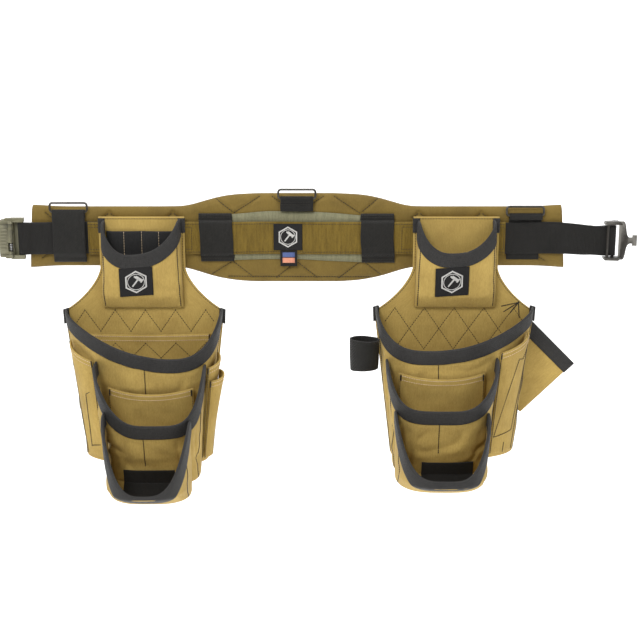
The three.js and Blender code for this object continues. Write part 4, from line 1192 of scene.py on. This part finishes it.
for pouch in (left, right):
    main, middle, front, neck = pouch.main, pouch.middle, pouch.front, pouch.neck
    inner_top = middle.rim[2] + 34

    def inner_pocket(u, v):
        across = middle.centre + mix(-64, 64, u)
        z = mix(main.bottom + 6, inner_top + 7 * (2 * u - 1) ** 2, v)
        hem = 0.5 * smooth(inner_top - 12, inner_top - 11, z)
        return Vector((across, main.outer_depth(across, z) + 2.4 + hem + 7 * math.sin(math.pi * u) * v, z))

    pouch.cloth("middle_inner_pocket", creased(inner_pocket, 1.6, 5), 48, 40)
    pouch.hem(inner_pocket)
    for u in (0.02, 0.98):
        pouch.stitch(pouch.dark_seams, inner_pocket, ((u, 0.05), (u, 0.985)))

    bar_middle = front.centre if pouch is left else front.centre - 10
    bar_ends = front.t_at(bar_middle - 40), front.t_at(bar_middle + 40)

    def foot_bar(u, v):
        """Along the front bag's floor and up the middle bag's front."""
        ripple = 0.8 * noise.noise(Vector((u * 4, v, 1)))
        if v < 0.5:
            on_floor = front.shell(mix(*bar_ends, u), floor_share * (0.94 - 1.88 * v))
            return on_floor + Vector((0, 0, 1.9 + 0.3 * ripple))
        across = front.shell(mix(*bar_ends, u), 0).x
        z = mix(middle.bottom + 6.4, middle.bottom + 28, 2 * v - 1)
        return Vector((across, middle.outer_depth(across, z) + 1.2 + ripple, z))

    pouch.cloth("tool_strap", foot_bar, 40, 30, material=strap_webbing, slot="black_webbing")

    slot_end, slot_top = (0.27, -150) if pouch is left else (0.3, -136)
    slot_face = over_wall(main, (0.115, slot_end), main.bottom + 8, lambda u: slot_top - 24 * u, billow(2.2, 11))
    pouch.cloth("slot_pocket", creased(slot_face, 1.2, 9), 30, 54)
    pouch.hem(slot_face)
    slot_lines = {
        "left": (((0.42, 0.1), (0.62, 0.62), (0.78, 0.66)), ((0.42, 0.1), (0.86, 0.13))),
        "right": (((0.10, 0.90), (0.32, 0.83), (0.48, 0.86), (0.92, 0.17), (0.24, 0.19), (0.10, 0.90)),
                  ((0.5, 0.01), (0.5, 0.09))),
    }
    for line in (((0.05, 0.02), (0.05, 0.97)), ((0.97, 0.02), (0.97, 0.97)), *slot_lines[pouch.side]):
        pouch.stitch(pouch.dark_seams, slot_face, line, width=0.0015, pitch=0.0034)

    label_tilt, shift = -0.07, -7 * pouch.hand

    def label_face(u, v):
        across = mix(-25, 25, u) + shift
        z = mix(-82, -38, v) - across * label_tilt * pouch.hand
        return Vector((across, neck.outer_depth(across, z) + 0.4 + 0.5 * (1 - v), z))

    pouch.cloth("label", label_face, 24, 24, material=label_black, thickness=0.8, slot="label")
    woven_sign(f"{pouch.side}_pouch_label_sign", pouch.hung(label_face), (0.050, 0.046), pouch.body)


def divider(u, v):
    z = mix(left.main.bottom + 4, -146, v)
    hem = 0.5 * smooth(-158, -157, z)
    return Vector((mix(-1, 1, u) * mix(88, 100, v), panel_front + 1.6 + hem + 7 * math.sin(math.pi * u) * v, z))


left.cloth("divider_pocket", creased(divider, 1.4, 21), 60, 54)
left.hem(divider, inset=(0.01, 0.99))
for x0, z0, x1, z1 in zigzag(-113, 45.8, 11, -181, -159):
    ends = [((a / mix(88, 100, (z + 326) / 180) + 1) / 2, (z + 326) / 180) for a, z in ((x0, z0), (x1, z1))]
    if all(0.02 < u < 0.98 for u, _ in ends):
        left.stitch(left.dark_seams, divider, ends, count=14)


def neck_lining(u, v):
    """Black ribbed cloth inside the neck, sewn down between its slots."""
    swell = abs(math.sin(2 * math.pi * u)) ** 0.6
    return Vector((mix(-52, 52, u), panel_front + 1.6 + 3.2 * swell * smooth(0, 0.4, v), mix(-70, 12, v)))


left.cloth("neck_slots", neck_lining, 64, 30, material=black_lining, thickness=1.4, slot="lining")
for u in (0.25, 0.5, 0.75):
    left.stitch(left.tan_seams, neck_lining, ((u, 0.05), (u, 0.99)), width=0.0008)

back_pocket = over_wall(left.main, (0.79, 0.94), left.main.bottom + 8, lambda u: mix(-184, -166, u),
                        billow(2.4, 11))
front_pocket = over_wall(left.main, (0.8, 0.93), left.main.bottom + 10, lambda u: mix(-204, -192, u),
                         billow(2.4, 15, 5.0))
for name, face in (("side_pocket_back", back_pocket), ("side_pocket_front", front_pocket)):
    left.cloth(name, creased(face, 1.2, 33), 28, 48)
    left.hem(face)
    left.stitch(left.dark_seams, face, ((0.04, 0.02), (0.04, 0.97)))
    left.stitch(left.dark_seams, face, ((0.96, 0.02), (0.96, 0.97)))

# ---- Hammer loop and square pocket ----------------------------------------------------------------
# A loop of black webbing stands open beside the right pouch's inner edge. Behind its outer edge a flat pocket for
# a speed square slants out at 45 degrees, with its mouth bound in the same tape.
loop_low, loop_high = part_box("hammer_loop")
loop_middle = (loop_low + loop_high) / 2
loop_size = (loop_high - loop_low) / 2


def loop_face(u, v):
    angle = 2 * math.pi * u
    flare = 1 - 0.06 * (1 - v) ** 2
    wave = 0.0005 * noise.noise(Vector((math.cos(angle), math.sin(angle), v * 2)))
    reach = Vector(((loop_size.x - 0.0009) * math.cos(angle) * flare,
                    (loop_size.y - 0.0009) * math.sin(angle) * flare))
    height = mix(loop_low.z, loop_high.z, v) - 0.002 * math.cos(angle) * (v - 0.5) + wave * 2
    return Vector((loop_middle.x + reach.x, loop_middle.y + reach.y, height))


bm = grid_on(loop_face, 72, 12)
bmesh.ops.remove_doubles(bm, verts=bm.verts, dist=1e-5)
hammer_loop = finished("right_pouch_hammer_loop", bm, black_webbing, "right_pouch",
                       ("hammer_loop",))
thick = hammer_loop.modifiers.new("cloth_thickness", "SOLIDIFY")
thick.thickness = 0.0018
thick.offset = 0

square_across, square_z, square_length, square_reach, square_forward = -145, -154, 118, 112, 11.6
diagonal = math.sqrt(0.5)


def square_spot(u, inward, forward):
    """A point on the square pocket: u along its mouth, and inward from the mouth, in millimetres."""
    along = mix(-0.5, 0.5, u) * square_length * diagonal
    step = inward * diagonal
    return Vector((square_across - along + step, square_forward + forward, square_z - along - step))


def square_panel(u, v):
    """The pocket's canvas, a little fuller in its middle."""
    inward = mix(square_reach, 2, v)
    fullness = math.sin(math.pi * u) * math.sin(math.pi * min(1, v * 1.1))
    crease = 0.6 * noise.noise(Vector((u * 3, v * 3, 8)))
    return square_spot(u, inward, 1.6 * fullness + crease * fullness)


def square_tape(u, v):
    """Tape folded over the pocket's mouth."""
    fold, legs = 1.6, 0.42
    if v < legs:
        inward, side = mix(21, fold, v / legs), 1.0
    elif v > 1 - legs:
        inward, side = mix(fold, 20, (v - 1 + legs) / legs), -1.0
    else:
        turn = math.pi * (v - legs) / (1 - 2 * legs)
        inward, side = fold - fold * math.sin(turn), math.cos(turn)
    fullness = math.sin(math.pi * u) * 0.8 * (inward / 21)
    return square_spot(mix(-0.01, 1.01, u), inward, side * fold + fullness)


right.cloth("square_pocket", square_panel, 40, 34)
right.cloth("square_binding", square_tape, 40, 20, material=binding_tape, thickness=0.9, slot="binding_tape")
for line in (((0.04, 0.02), (0.04, 0.80)), ((0.96, 0.02), (0.96, 0.80)),
             ((0.42, 0.62), (0.50, 0.80), (0.40, 0.78))):
    right.stitch(right.dark_seams, square_panel, line, width=0.0014)

# An arrow of stitches on the right pouch's panel tacks down the square pocket's upper corner.
for corner in ((-70, -104), (-74, -113), (-84, -116), (-99, -122)):
    line = [(mix(-97, corner[0], i / 8), mix(-98, corner[1], i / 8)) for i in range(9)]
    sew(right.dark_seams, [panel_spot(across, z) for across, z in line], width=0.0018, pitch=0.0028)

for pouch in (left, right):
    pouch.finish_seams()
finished("belt_quilting_seams", belt_seams, dark_thread, "padded_belt")
finished("strap_facing_seams", strap_seams, dark_thread, "waist_strap")
